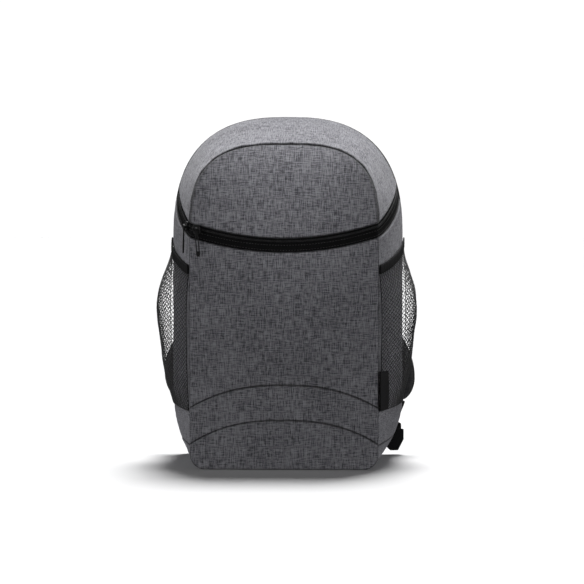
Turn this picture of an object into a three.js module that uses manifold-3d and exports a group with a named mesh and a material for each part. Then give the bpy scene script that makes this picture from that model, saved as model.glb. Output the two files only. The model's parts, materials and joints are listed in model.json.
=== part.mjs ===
// Cooler backpack, standing upright on its base.
//
// Millimetres, +Z up, the front panel faces -Y. The origin is the middle of the base on the surface
// that the bag stands on. A front outline and a larger back outline are joined by a padded gusset, and a
// zip runs round the front and both sides and parts the lid from the body.
import * as THREE from 'three';
import { mergeVertices } from 'three/addons/utils/BufferGeometryUtils.js';
import Module from 'manifold-3d';

const wasm = await Module();
wasm.setup();

// Driving dimensions: the two outlines and the depth between them
const DEPTH = 160;
const FRONT = { half: 112, cornerWidth: 18, cornerHeight: 18, spring: 280, top: 386, fullness: 3 };
const BACK = { half: 142, cornerWidth: 45, cornerHeight: 75, spring: 270, top: 420, fullness: 2.6 };
const WALL = 4.2;
const BACK_WALL = 5;
const SEAM_GAP = 0.35;
const FACE_BULGE = 5;
const LEAN_START = 274;
const LEAN_BACK = 36;
const LEAN_STRAIGHT_SHARE = 0.45;
const LEAN_POWER = 2.5;

// Driving dimensions: zip band, seams of the front and base
const ZIP = { low: 258, height: 17, smile: 18, rise: 46, climb: 1.3, thick: 2, recess: 0.8 };
const ZIP_LOWER_TAPE = 11.6;
const ZIP_COIL = { width: 2.3, proud: 0.7 };
const UPPER_ARC = { middle: 101, drop: 28, power: 2.4 };
const LOWER_ARC = { middle: 59, drop: 29, power: 2.5 };
const BASE_SEAM = 29;

// Driving dimensions: side pockets of net with an elastic mouth
const POCKET = { hem: 69, mouth: 243, rise: 31, netBulge: 19, mouthGap: 6, skinGap: 0.5, inset: 0.03 };
const NET = { thick: 1.2, across: 7, up: 8, bar: 3.5, hole: 18 };
const NET_PROFILE = [
  { height: 0, bulge: 0 },
  { height: 0.22, bulge: 0.5 },
  { height: 0.45, bulge: 0.78 },
  { height: 0.66, bulge: 1 },
  { height: 0.8, bulge: 0.72 },
  { height: 1, bulge: 0 },
];
const BINDING = { height: 11, thick: 1.8 };

// Driving dimensions: tag in the right front seam
const TAG = { height: 46, width: 20, thick: 1, low: 71, splay: 28, standOff: 1.6 };

// Driving dimensions: sliders and their pulls
const SLIDER = { width: 9, height: 11, thick: 3, corner: 3, seat: 0.75, postThick: 1.6, barRadius: 0.7 };
const PULL = { eyeRadius: 1.9, boreClearance: 0.35, eyeWidth: 3.4, width: 4.6, length: 31, thick: 1.5, slot: 2 };
const FRONT_SLIDER = { across: -103, lean: 5 };
const SIDE_SLIDER = { depthShare: 0.055 };

// Driving dimensions: shoulder straps, ladder locks, webbing and corner tabs on the back
const STRAP = {
  topOut: 45, endOut: 154, top: 374, end: 72, outPower: 1.6, thick: 11, topThick: 5,
  half: 29, endHalf: 22, standOff: 24, endOff: 9, clearance: 0.5,
};
const LOCK = { height: 24, thick: 4, bar: 4.5, slots: 2, slotHeight: 5.4, ease: 1, gap: 0.4 };
const STRAP_HOOK = { from: 0.84, inward: 24 };
const WEBBING = { width: 24, thick: 1.6, tuck: 5, lead: 8 };
const TAB = { inner: 113, outer: 144, low: 5, high: 32, shoulder: 14, thick: 3 };

// Mesh fineness
const STEPS = { across: 20, up: 8, arch: 16, depth: 8, side: 10, base: 4, corner: 5, band: 2, toe: 2, strap: 20 };
const OUTLINE_SAMPLES = 48;
const MESH_SLIVER = 1e-4;

// Finishes
const CLOTH = new THREE.MeshStandardMaterial({ name: 'melange_cloth', color: 0x55555a, roughness: 0.95 });
const CROWN_CLOTH = new THREE.MeshStandardMaterial({ name: 'crown_cloth', color: 0x5e5e63, roughness: 0.95 });
const BACK_CLOTH = new THREE.MeshStandardMaterial({ name: 'back_cloth', color: 0x232325, roughness: 0.95 });
const NET_CORD = new THREE.MeshStandardMaterial({ name: 'net', color: 0x141415, roughness: 0.8 });
const ELASTIC = new THREE.MeshStandardMaterial({ name: 'elastic', color: 0x101011, roughness: 0.85 });
const ZIP_BLACK = new THREE.MeshStandardMaterial({ name: 'zip_tape', color: 0x0d0d0e, roughness: 0.8 });
const METAL = new THREE.MeshStandardMaterial({
  name: 'black_metal', color: 0x141415, roughness: 0.35, metalness: 0.7,
});
const PLASTIC = new THREE.MeshStandardMaterial({ name: 'black_plastic', color: 0x121213, roughness: 0.45 });
const WEB_BLACK = new THREE.MeshStandardMaterial({ name: 'webbing', color: 0x131314, roughness: 0.9 });

const BACK_Y = DEPTH / 2;
const GUSSET_BACK_Y = BACK_Y - BACK_WALL - SEAM_GAP;
const SEAM_SHARE = (WALL + SEAM_GAP) / DEPTH;
const SIDES = [{ name: 'left', sign: -1 }, { name: 'right', sign: 1 }];
const mix = THREE.MathUtils.lerp;
const clamp = THREE.MathUtils.clamp;

// Half the width of an upright outline at a height: round lower corners, straight sides, an arched top
function halfWidth(outline, z) {
  const { half, cornerWidth, cornerHeight, spring, top, fullness } = outline;
  if (z < cornerHeight) {
    const below = 1 - z / cornerHeight;
    return half - cornerWidth * (1 - Math.sqrt(Math.max(0, 1 - below * below)));
  }
  const share = clamp((z - spring) / (top - spring), 0, 1);
  return half * (1 - share ** fullness) ** (1 / fullness);
}

// The right half of an outline from the middle of the base round to the middle of the top
function outlinePoints({ half, cornerWidth, cornerHeight, spring, top, fullness }) {
  const points = [new THREE.Vector2(0, 0)];
  for (let i = 0; i <= OUTLINE_SAMPLES; i += 1) {
    const angle = (Math.PI / 2) * (i / OUTLINE_SAMPLES);
    points.push(new THREE.Vector2(
      half - cornerWidth * (1 - Math.sin(angle)),
      cornerHeight * (1 - Math.cos(angle)),
    ));
  }
  for (let i = 0; i <= OUTLINE_SAMPLES; i += 1) {
    const angle = (Math.PI / 2) * (i / OUTLINE_SAMPLES);
    points.push(new THREE.Vector2(
      half * Math.max(0, Math.cos(angle)) ** (2 / fullness),
      spring + (top - spring) * Math.sin(angle) ** (2 / fullness),
    ));
  }
  return points;
}

// The stretch of an outline between two heights, as evenly spaced points
function stretch(outline, low, high, count) {
  const all = outlinePoints(outline);
  const kept = [];
  for (let i = 0; i < all.length; i += 1) {
    const here = all[i];
    const before = all[i - 1];
    for (const cut of [low, high]) {
      if (before && before.y < cut && here.y > cut) {
        kept.push(before.clone().lerp(here, (cut - before.y) / (here.y - before.y)));
      }
    }
    if (here.y >= low && here.y <= high) {
      kept.push(here);
    }
  }
  return spaced(kept, count);
}

// A polyline again, with count even steps along its length
function spaced(points, count) {
  const along = [0];
  for (let i = 1; i < points.length; i += 1) {
    along.push(along[i - 1] + points[i].distanceTo(points[i - 1]));
  }
  const total = along[along.length - 1];
  return Array.from({ length: count + 1 }, (_, k) => {
    const target = (total * k) / count;
    const i = clamp(along.findIndex((value) => value >= target - MESH_SLIVER), 1, points.length - 1);
    const step = along[i] - along[i - 1];
    return points[i - 1].clone().lerp(points[i], step > 0 ? (target - along[i - 1]) / step : 0);
  });
}

// A share table read with smooth steps between its rows
function readTable(rows, place) {
  const last = rows.length - 2;
  const i = clamp(rows.findIndex((row) => row.height > place) - 1, 0, last);
  const index = place >= 1 ? last : i;
  const [a, b] = [rows[index], rows[index + 1]];
  const before = rows[Math.max(0, index - 1)];
  const after = rows[Math.min(rows.length - 1, index + 2)];
  const s = (place - a.height) / (b.height - a.height);
  const span = b.height - a.height;
  const slopeA = ((b.bulge - before.bulge) / Math.max(b.height - before.height, MESH_SLIVER)) * span;
  const slopeB = ((after.bulge - a.bulge) / Math.max(after.height - a.height, MESH_SLIVER)) * span;
  const s2 = s * s;
  const s3 = s2 * s;
  return (2 * s3 - 3 * s2 + 1) * a.bulge + (s3 - 2 * s2 + s) * slopeA
    + (3 * s2 - 2 * s3) * b.bulge + (s3 - s2) * slopeB;
}

// Where the front seam lies: upright on the body, leaning back over the lid
function seamDepth(z) {
  const share = clamp((z - LEAN_START) / (FRONT.top - LEAN_START), 0, 1.2);
  const lean = LEAN_STRAIGHT_SHARE * share + (1 - LEAN_STRAIGHT_SHARE) * share ** LEAN_POWER;
  return -DEPTH / 2 + LEAN_BACK * lean;
}

// The outer face of the front, which swells forward between its seams
function faceDepth(x, z) {
  const across = clamp(Math.abs(x) / halfWidth(FRONT, z), 0, 1);
  const up = clamp(z / FRONT.top, 0, 1);
  return seamDepth(z) - FACE_BULGE * (1 - across * across) * Math.sqrt(4 * up * (1 - up));
}

// A point of the gusset between a front and a back outline point; share runs from 0 in front to 1 behind
function gussetPoint(front, back, share, sign = 1) {
  const turn = clamp((share - SEAM_SHARE) / (1 - SEAM_SHARE), 0, 1);
  const swell = Math.sin((Math.PI / 2) * turn);
  const lid = clamp((front.y - ZIP_CORNER) / (FRONT.top - ZIP_CORNER), 0, 1);
  const climb = mix(turn ** ZIP.climb, swell, lid);
  return new THREE.Vector3(
    sign * mix(front.x, back.x, swell),
    mix(seamDepth(front.y), BACK_Y, share),
    mix(front.y, back.y, climb),
  );
}

// A gusset point on the side, from the height of its front seam point and of its back seam point
function sidePoint(frontZ, backZ, share, sign = 1) {
  const front = new THREE.Vector2(halfWidth(FRONT, frontZ), frontZ);
  const back = new THREE.Vector2(halfWidth(BACK, backZ), backZ);
  return gussetPoint(front, back, share, sign);
}

// The height of the zip band's lower edge across the front
const zipLow = (x) => ZIP.low + ZIP.smile * (x / FRONT.half) ** 2;
const ZIP_CORNER = ZIP.low + ZIP.smile;
const arcHeight = (arc) => (x) => arc.middle - arc.drop * (Math.abs(x) / FRONT.half) ** arc.power;

// Turns triangles into one closed body with its faces outwards
function bodyFrom(points, triangles) {
  const position = new Float32Array(points.length * 3);
  points.forEach((point, i) => point.toArray(position, i * 3));
  let volume = 0;
  const normal = new THREE.Vector3();
  for (const [a, b, c] of triangles) {
    volume += points[a].dot(normal.crossVectors(points[b], points[c]));
  }
  const outward = volume < 0 ? triangles.map(([a, b, c]) => [a, c, b]) : triangles;
  const geometry = new THREE.BufferGeometry();
  geometry.setAttribute('position', new THREE.BufferAttribute(position, 3));
  geometry.setIndex(outward.flat());
  geometry.computeVertexNormals();
  return geometry;
}

// A padded panel from two grids of points, its outer and inner face, with optional holes between cells
function panelBetween(outer, inner, isHole = () => false) {
  const rows = outer.length - 1;
  const columns = outer[0].length - 1;
  const points = [...outer.flat(), ...inner.flat()];
  const half = outer.flat().length;
  const at = (i, j, layer) => layer * half + i * (columns + 1) + j;
  const solid = (i, j) => i >= 0 && j >= 0 && i < rows && j < columns && !isHole(i, j);
  const triangles = [];
  const quad = (a, b, c, d) => triangles.push([a, b, c], [a, c, d]);
  for (let i = 0; i < rows; i += 1) {
    for (let j = 0; j < columns; j += 1) {
      if (solid(i, j)) {
        quad(at(i, j, 0), at(i, j + 1, 0), at(i + 1, j + 1, 0), at(i + 1, j, 0));
        quad(at(i, j, 1), at(i + 1, j, 1), at(i + 1, j + 1, 1), at(i, j + 1, 1));
        const rim = [
          [solid(i - 1, j), [i, j], [i, j + 1]],
          [solid(i, j + 1), [i, j + 1], [i + 1, j + 1]],
          [solid(i + 1, j), [i + 1, j + 1], [i + 1, j]],
          [solid(i, j - 1), [i + 1, j], [i, j]],
        ];
        for (const [joined, from, to] of rim) {
          if (!joined) {
            quad(at(...from, 0), at(...from, 1), at(...to, 1), at(...to, 0));
          }
        }
      }
    }
  }
  const used = new Map();
  const packed = [];
  const renumbered = triangles.map((triangle) => triangle.map((index) => {
    if (!used.has(index)) {
      used.set(index, packed.length);
      packed.push(points[index]);
    }
    return used.get(index);
  }));
  return bodyFrom(packed, renumbered);
}

// The unit normal of a grid of points at one of them
function gridNormal(grid, i, j) {
  const rows = grid.length - 1;
  const columns = grid[0].length - 1;
  const up = grid[Math.min(i + 1, rows)][j].clone().sub(grid[Math.max(i - 1, 0)][j]);
  const along = grid[i][Math.min(j + 1, columns)].clone().sub(grid[i][Math.max(j - 1, 0)]);
  return up.cross(along).normalize();
}

// The same grid moved inwards along its normals, and level along its first and last row, which are seams
function innerGrid(grid, distance, inside) {
  return grid.map((row, i) => row.map((point, j) => {
    const normal = gridNormal(grid, i, j);
    if (i === 0 || i === grid.length - 1) {
      normal.setZ(0).normalize();
    }
    const away = Math.sign(normal.dot(point.clone().sub(inside))) || 1;
    return point.clone().addScaledVector(normal, -away * distance);
  }));
}

const gridOf = (rows, columns, pointAt) => Array.from({ length: rows + 1 }, (_, i) => (
  Array.from({ length: columns + 1 }, (__, j) => pointAt(i / rows, j / columns))
));

const BAG_MIDDLE = new THREE.Vector3(0, 0, (FRONT.top + BASE_SEAM) / 2);

// A body swept through rings of points, with a flat cap at each end
function loft(rings) {
  const size = rings[0].length;
  const points = rings.flat();
  const triangles = [];
  for (let r = 0; r < rings.length - 1; r += 1) {
    for (let k = 0; k < size; k += 1) {
      const next = (k + 1) % size;
      const [a, b] = [r * size + k, r * size + next];
      triangles.push([a, b, b + size], [a, b + size, a + size]);
    }
  }
  const lastRing = (rings.length - 1) * size;
  for (let k = 1; k < size - 1; k += 1) {
    triangles.push([0, k + 1, k], [lastRing, lastRing + k, lastRing + k + 1]);
  }
  return bodyFrom(points, triangles);
}

// A front panel between a lower and an upper curve, whose side edge runs along edge(share) = [x, z]
function facePanel({ edge, low, high, columns, rows }) {
  const [lowX] = edge(0);
  const [highX] = edge(1);
  const surface = (shift) => gridOf(rows, columns, (v, u) => {
    const [edgeX, edgeZ] = edge(v);
    const x = edgeX * Math.sin((Math.PI / 2) * (2 * u - 1));
    const reach = Math.sin((Math.PI / 2) * (2 * u - 1));
    const bend = (1 - v) * (low(reach * lowX) - low(lowX)) + v * (high(reach * highX) - high(highX));
    const z = edgeZ + bend;
    return new THREE.Vector3(x, faceDepth(x, z) + shift, z);
  });
  return panelBetween(surface(0), surface(WALL));
}

// Edge of a front panel along the straight side seam
const straightEdge = (from, to) => (share) => [FRONT.half, mix(from, to, share)];

function frontPanels() {
  const low = arcHeight(LOWER_ARC);
  const high = arcHeight(UPPER_ARC);
  const above = (curve) => (x) => curve(x) + SEAM_GAP / 2;
  const below = (curve) => (x) => curve(x) - SEAM_GAP / 2;
  const round = outlinePoints(FRONT).filter((point) => point.x > 0 && point.y <= FRONT.cornerHeight);
  const corner = spaced(
    [...round, new THREE.Vector2(FRONT.half, below(low)(FRONT.half))],
    STEPS.toe + STEPS.corner,
  );
  const toeSide = (share) => corner[Math.round(share * (corner.length - 1))].toArray();
  return {
    front_toe: facePanel({
      edge: toeSide, low: () => 0, high: below(low), columns: STEPS.across, rows: corner.length - 1,
    }),
    front_band: facePanel({
      edge: straightEdge(above(low)(FRONT.half), below(high)(FRONT.half)),
      low: above(low), high: below(high), columns: STEPS.across, rows: STEPS.band,
    }),
    front_panel: facePanel({
      edge: straightEdge(above(high)(FRONT.half), ZIP_CORNER),
      low: above(high), high: zipLow, columns: STEPS.across, rows: STEPS.up,
    }),
  };
}

// The lid's front, an arched panel that leans back
function browPanel() {
  const foot = ZIP_CORNER + ZIP.height;
  const flat = FRONT.half / 2;
  const archAt = (x) => FRONT.spring
    + (FRONT.top - FRONT.spring) * (1 - (Math.abs(x) / FRONT.half) ** FRONT.fullness) ** (1 / FRONT.fullness);
  const side = stretch(FRONT, foot, archAt(flat), STEPS.up);
  return facePanel({
    edge: (share) => side[Math.round(share * STEPS.up)].toArray(),
    low: (x) => zipLow(x) + ZIP.height,
    high: archAt,
    columns: STEPS.across,
    rows: STEPS.up,
  });
}

// A gusset panel through matching front and back outline points
function gussetPanel(front, back, signs) {
  const outer = front.map((point, i) => Array.from({ length: STEPS.depth + 1 }, (_, j) => {
    const seam = seamDepth(point.y);
    const first = (WALL + SEAM_GAP) / (BACK_Y - seam);
    const last = (GUSSET_BACK_Y - seam) / (BACK_Y - seam);
    return gussetPoint(point, back[i], mix(first, last, j / STEPS.depth), signs[i]);
  }));
  const inner = innerGrid(outer, WALL, BAG_MIDDLE);
  inner.flat().forEach((point) => point.setY(Math.min(point.y, GUSSET_BACK_Y)));
  return panelBetween(outer, inner);
}

const mirrored = (points) => [...points, ...points.slice(0, -1).reverse()];
const mirroredSigns = (count) => Array.from({ length: 2 * count - 1 }, (_, i) => (i < count ? 1 : -1));

function crownPanel() {
  const front = stretch(FRONT, ZIP_CORNER + ZIP.height, FRONT.top, STEPS.arch);
  const back = stretch(BACK, ZIP_CORNER + ZIP.rise + ZIP.height, BACK.top, STEPS.arch);
  return gussetPanel(mirrored(front), mirrored(back), mirroredSigns(front.length));
}

function sidePanel(sign) {
  const front = stretch(FRONT, BASE_SEAM + SEAM_GAP / 2, ZIP_CORNER, STEPS.side);
  const back = stretch(BACK, BASE_SEAM + SEAM_GAP / 2, ZIP_CORNER + ZIP.rise, STEPS.side);
  return gussetPanel(front, back, front.map(() => sign));
}

// The base wraps up both sides to the base seam
function basePanel() {
  const wrap = (outline) => {
    const side = outlinePoints(outline).filter((point) => point.y <= BASE_SEAM - SEAM_GAP / 2);
    const top = BASE_SEAM - SEAM_GAP / 2;
    const curved = [...side.slice(1), new THREE.Vector2(halfWidth(outline, top), top)];
    const flatEnd = outline.half - outline.cornerWidth;
    const flat = spaced([new THREE.Vector2(0, 0), new THREE.Vector2(flatEnd, 0)], STEPS.base);
    return [...flat.slice(0, -1), ...spaced(curved, STEPS.corner)].reverse();
  };
  const front = wrap(FRONT);
  return gussetPanel(mirrored(front), mirrored(wrap(BACK)), mirroredSigns(front.length));
}

function backPanel() {
  const half = spaced(outlinePoints(BACK), 2 * STEPS.arch).slice(1, -1);
  const shape = new THREE.Shape([
    new THREE.Vector2(0, 0),
    ...half,
    new THREE.Vector2(0, BACK.top),
    ...half.map((point) => new THREE.Vector2(-point.x, point.y)).reverse(),
  ]);
  const plate = new THREE.ExtrudeGeometry(shape, { depth: BACK_WALL, bevelEnabled: false });
  plate.rotateX(Math.PI / 2);
  plate.translate(0, BACK_Y, 0);
  return plate;
}

// One strip of the zip, from the back seam on the left round the front to the back seam on the right.
// low and high are heights above the band's lower edge, proud is how far it stands out of the band.
function zipStrip(low, high, proud, thick) {
  const lastShare = (GUSSET_BACK_Y + DEPTH / 2) / DEPTH;
  const out = proud - ZIP.recess;
  const sideRing = (share, sign) => {
    const across = Math.cos((Math.PI / 2) * share);
    const normal = new THREE.Vector3(sign, -0.3 * across, 0).normalize();
    const at = (h, depth) => sidePoint(ZIP_CORNER + h, ZIP_CORNER + ZIP.rise + h, share, sign)
      .addScaledVector(normal, depth);
    return [at(low, out), at(high, out), at(high, out - thick), at(low, out - thick)];
  };
  const cornerRing = (sign) => {
    const at = (h, depth) => new THREE.Vector3(
      sign * (FRONT.half + depth), seamDepth(ZIP_CORNER + h) - depth, zipLow(FRONT.half + depth) + h,
    );
    return [at(low, out), at(high, out), at(high, out - thick), at(low, out - thick)];
  };
  const frontRing = (x) => {
    const at = (h, depth) => new THREE.Vector3(x, faceDepth(x, zipLow(x) + h) - depth, zipLow(x) + h);
    return [at(low, out), at(high, out), at(high, out - thick), at(low, out - thick)];
  };
  const shares = Array.from({ length: STEPS.depth + 1 }, (_, i) => (
    mix(SEAM_SHARE, lastShare, i / STEPS.depth)
  ));
  const reach = FRONT.half - ZIP.recess - 2 * ZIP.thick;
  const across = Array.from({ length: STEPS.across - 1 }, (_, i) => (
    reach * Math.sin((Math.PI / 2) * ((2 * (i + 1)) / STEPS.across - 1))
  ));
  return loft([
    ...shares.slice().reverse().map((share) => sideRing(share, -1)),
    cornerRing(-1),
    ...across.map(frontRing),
    cornerRing(1),
    ...shares.map((share) => sideRing(share, 1)),
  ]);
}

const COIL_LOW = ZIP_LOWER_TAPE + SEAM_GAP;
const COIL_HIGH = COIL_LOW + ZIP_COIL.width;

const POCKET_SPREAD_POWER = 0.85;
const POCKET_STEP = 0.01;

// How far a pocket stands off the side: nothing at its front and back edge, most in the middle
const pocketSpread = (share) => Math.max(0, Math.sin(Math.PI * share)) ** POCKET_SPREAD_POWER;

// A point of a pocket: height runs from 0 at the hem to 1 below the binding, extra is added thickness
function pocketPoint(height, share, sign, extra) {
  const [frontZ, backZ] = [POCKET.mouth, POCKET.mouth + POCKET.rise].map((mouth) => (
    mix(POCKET.hem, mouth - BINDING.height - SEAM_GAP, height)
  ));
  const point = sidePoint(frontZ, backZ, share, sign);
  const along = sidePoint(frontZ, backZ, share + POCKET_STEP, sign)
    .sub(sidePoint(frontZ, backZ, share - POCKET_STEP, sign));
  const normal = new THREE.Vector3(sign * Math.abs(along.y), -Math.abs(along.x), 0).normalize();
  const swell = POCKET.netBulge * readTable(NET_PROFILE, height) + POCKET.mouthGap * height ** 3;
  return point.addScaledVector(normal, POCKET.skinGap + swell * pocketSpread(share) + extra);
}

// Places of the grid lines of bars and holes along one direction of the net, from 0 to 1
function netLines(holes) {
  const total = holes * NET.hole + (holes + 1) * NET.bar;
  const lines = [0];
  for (let i = 0; i < holes; i += 1) {
    lines.push(lines[lines.length - 1] + NET.bar / total, lines[lines.length - 1] + (NET.bar + NET.hole) / total);
  }
  return [...lines, 1];
}

const pocketShare = (place) => mix(POCKET.inset, 1 - POCKET.inset - BACK_WALL / DEPTH, place);

function pocketNet(sign) {
  const [across, up] = [netLines(NET.across), netLines(NET.up)];
  const layer = (extra) => up.map((v) => across.map((u) => pocketPoint(v, pocketShare(u), sign, extra)));
  return panelBetween(layer(NET.thick), layer(0), (i, j) => i % 2 === 1 && j % 2 === 1);
}

function pocketBinding(sign) {
  const rings = Array.from({ length: STEPS.depth * 2 + 1 }, (_, k) => {
    const share = pocketShare(k / (STEPS.depth * 2));
    const foot = pocketPoint(1, share, sign, 0);
    const outerFoot = pocketPoint(1, share, sign, BINDING.thick);
    const lift = new THREE.Vector3(0, 0, SEAM_GAP);
    const rise = new THREE.Vector3(0, 0, SEAM_GAP + BINDING.height);
    return [
      foot.clone().add(lift), outerFoot.clone().add(lift),
      outerFoot.clone().add(rise), foot.clone().add(rise),
    ];
  });
  return loft(rings);
}

// The tag is sewn in the right front seam and stands a little off the pocket
function sideTag() {
  const tag = new THREE.BoxGeometry(TAG.thick, TAG.width, TAG.height, 1, 1, 1);
  tag.translate(TAG.thick / 2, TAG.width / 2, TAG.height / 2);
  return tag;
}

// A manifold body from a closed geometry, and back
function solidFrom(geometry) {
  const bare = geometry.clone();
  bare.deleteAttribute('normal');
  bare.deleteAttribute('uv');
  const merged = mergeVertices(bare, MESH_SLIVER);
  return new wasm.Manifold(new wasm.Mesh({
    numProp: 3,
    vertProperties: new Float32Array(merged.attributes.position.array),
    triVerts: new Uint32Array(merged.index.array),
  }));
}

function geometryFrom(solid) {
  const mesh = solid.getMesh();
  const geometry = new THREE.BufferGeometry();
  geometry.setAttribute('position', new THREE.BufferAttribute(new Float32Array(mesh.vertProperties), 3));
  geometry.setIndex(new THREE.BufferAttribute(new Uint32Array(mesh.triVerts), 1));
  geometry.computeVertexNormals();
  return geometry;
}

const joined = (...geometries) => geometryFrom(geometries.map(solidFrom).reduce((a, b) => a.add(b)));

// A plate in its own XZ plane, from y = 0 towards -Y
function plate(shape, thick) {
  const geometry = new THREE.ExtrudeGeometry(shape, { depth: thick, bevelEnabled: false, curveSegments: 3 });
  geometry.rotateX(Math.PI / 2);
  return geometry;
}

function roundedRectangle(width, height, corner) {
  const [x, z] = [width / 2, height / 2];
  return new THREE.Shape()
    .moveTo(-x + corner, -z)
    .lineTo(x - corner, -z)
    .absarc(x - corner, -z + corner, corner, -Math.PI / 2, 0)
    .lineTo(x, z - corner)
    .absarc(x - corner, z - corner, corner, 0, Math.PI / 2)
    .lineTo(-x + corner, z)
    .absarc(-x + corner, z - corner, corner, Math.PI / 2, Math.PI)
    .lineTo(-x, -z + corner)
    .absarc(-x + corner, -z + corner, corner, Math.PI, Math.PI * 1.5);
}

// A slider in its own frame: y = 0 on its back face, -Y outwards, the bail bar along X
const PULL_BORE = SLIDER.barRadius + PULL.boreClearance;
const BAR_OUT = SLIDER.thick + PULL.eyeRadius + SLIDER.seat / 2;

function sliderBody() {
  const body = plate(roundedRectangle(SLIDER.width, SLIDER.height, SLIDER.corner), SLIDER.thick);
  const postHeight = PULL.eyeRadius * 2;
  const postLength = BAR_OUT + SLIDER.barRadius - SLIDER.thick / 2;
  const posts = SIDES.map(({ sign }) => {
    const post = new THREE.BoxGeometry(SLIDER.postThick, postLength, postHeight);
    post.translate(sign * (SLIDER.width - SLIDER.postThick) / 2, -(SLIDER.thick / 2 + postLength / 2), 0);
    return post;
  });
  const bar = new THREE.CylinderGeometry(SLIDER.barRadius, SLIDER.barRadius, SLIDER.width - SLIDER.postThick, 8);
  bar.rotateZ(Math.PI / 2);
  bar.translate(0, -BAR_OUT, 0);
  return joined(body, ...posts, bar);
}

// A pull in its own frame: its eye round the origin, hanging along -Z
function pullBody() {
  const ring = new THREE.Shape().absarc(0, 0, PULL.eyeRadius, 0, 2 * Math.PI);
  ring.holes.push(new THREE.Path().absarc(0, 0, PULL_BORE, 0, 2 * Math.PI));
  const eye = new THREE.ExtrudeGeometry(ring, { depth: PULL.eyeWidth, bevelEnabled: false, curveSegments: 8 });
  eye.rotateY(Math.PI / 2);
  eye.translate(-PULL.eyeWidth / 2, 0, 0);
  const start = (PULL.eyeRadius + PULL_BORE) / 2;
  const outline = roundedRectangle(PULL.width, PULL.length, PULL.width / 3);
  const slot = roundedRectangle(PULL.slot, PULL.length * 0.55, PULL.slot / 2 - MESH_SLIVER);
  outline.holes.push(new THREE.Path(slot.getPoints(3)));
  const tongue = plate(outline, PULL.thick);
  tongue.translate(0, PULL.thick / 2, -PULL.length / 2 - start);
  return joined(eye, tongue);
}

// A shoulder strap's middle line; place runs from 0 at its sewn top to 1 at its lower end
function strapMiddle(place, sign) {
  const thick = mix(STRAP.topThick, STRAP.thick, Math.min(1, place * 6));
  const hook = clamp((place - STRAP_HOOK.from) / (1 - STRAP_HOOK.from), 0, 1);
  return new THREE.Vector3(
    sign * (mix(STRAP.topOut, STRAP.endOut, place ** STRAP.outPower) - STRAP_HOOK.inward * hook * hook),
    BACK_Y + STRAP.clearance + thick / 2 + STRAP.standOff * Math.sin(Math.PI * place) ** 1.2 + STRAP.endOff * place,
    mix(STRAP.top, STRAP.end, place),
  );
}

function strapFrame(place, sign) {
  const step = 0.004;
  const ahead = strapMiddle(Math.min(1, place + step), sign);
  const along = ahead.sub(strapMiddle(Math.max(0, place - step), sign)).normalize();
  const across = new THREE.Vector3(-along.z, 0, along.x).normalize();
  const out = new THREE.Vector3().crossVectors(across, along).normalize();
  out.multiplyScalar(Math.sign(out.y) || 1);
  return { middle: strapMiddle(place, sign), along, across, out };
}

const STRAP_ROUND = 0.93;

function shoulderStrap(sign) {
  const places = [
    ...Array.from({ length: STEPS.strap }, (_, i) => (STRAP_ROUND * i) / (STEPS.strap - 1)),
    mix(STRAP_ROUND, 1, 0.5), mix(STRAP_ROUND, 1, 0.85), 1,
  ];
  return loft(places.map((place) => {
    const { middle, across, out } = strapFrame(place, sign);
    const round = Math.max(0, (place - STRAP_ROUND) / (1 - STRAP_ROUND));
    const half = mix(STRAP.half, STRAP.endHalf, place ** 2) * mix(1, Math.sqrt(1 - round * round), 0.55);
    const thick = mix(STRAP.topThick, STRAP.thick, Math.min(1, place * 6)) / 2;
    const edge = thick * 0.45;
    const section = [
      [half, -edge], [half, edge], [half - thick, thick], [-half + thick, thick],
      [-half, edge], [-half, -edge], [-half + thick, -thick], [half - thick, -thick],
    ];
    return section.map(([a, b]) => middle.clone().addScaledVector(across, a).addScaledVector(out, b));
  }));
}

// A ladder lock in its own frame, along -Z, with two slots
function ladderLock() {
  const slotWidth = WEBBING.width + 2 * LOCK.ease;
  const outline = roundedRectangle(slotWidth + 2 * LOCK.bar, LOCK.height, LOCK.bar / 2);
  const pitch = (LOCK.height - LOCK.bar) / LOCK.slots;
  for (let i = 0; i < LOCK.slots; i += 1) {
    const middle = LOCK.height / 2 - LOCK.bar / 2 - pitch * (i + 0.5);
    const slot = roundedRectangle(slotWidth, LOCK.slotHeight, LOCK.ease);
    outline.holes.push(new THREE.Path(slot.getPoints(2).map((p) => new THREE.Vector2(p.x, p.y + middle))));
  }
  const lock = plate(outline, LOCK.thick);
  lock.translate(0, LOCK.thick / 2, 0);
  return lock;
}

const LOCK_DROP = LOCK.height / 2 + LOCK.gap;

function lockMiddle(sign) {
  const { middle, along } = strapFrame(1, sign);
  return middle.addScaledVector(along, LOCK_DROP);
}

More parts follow.
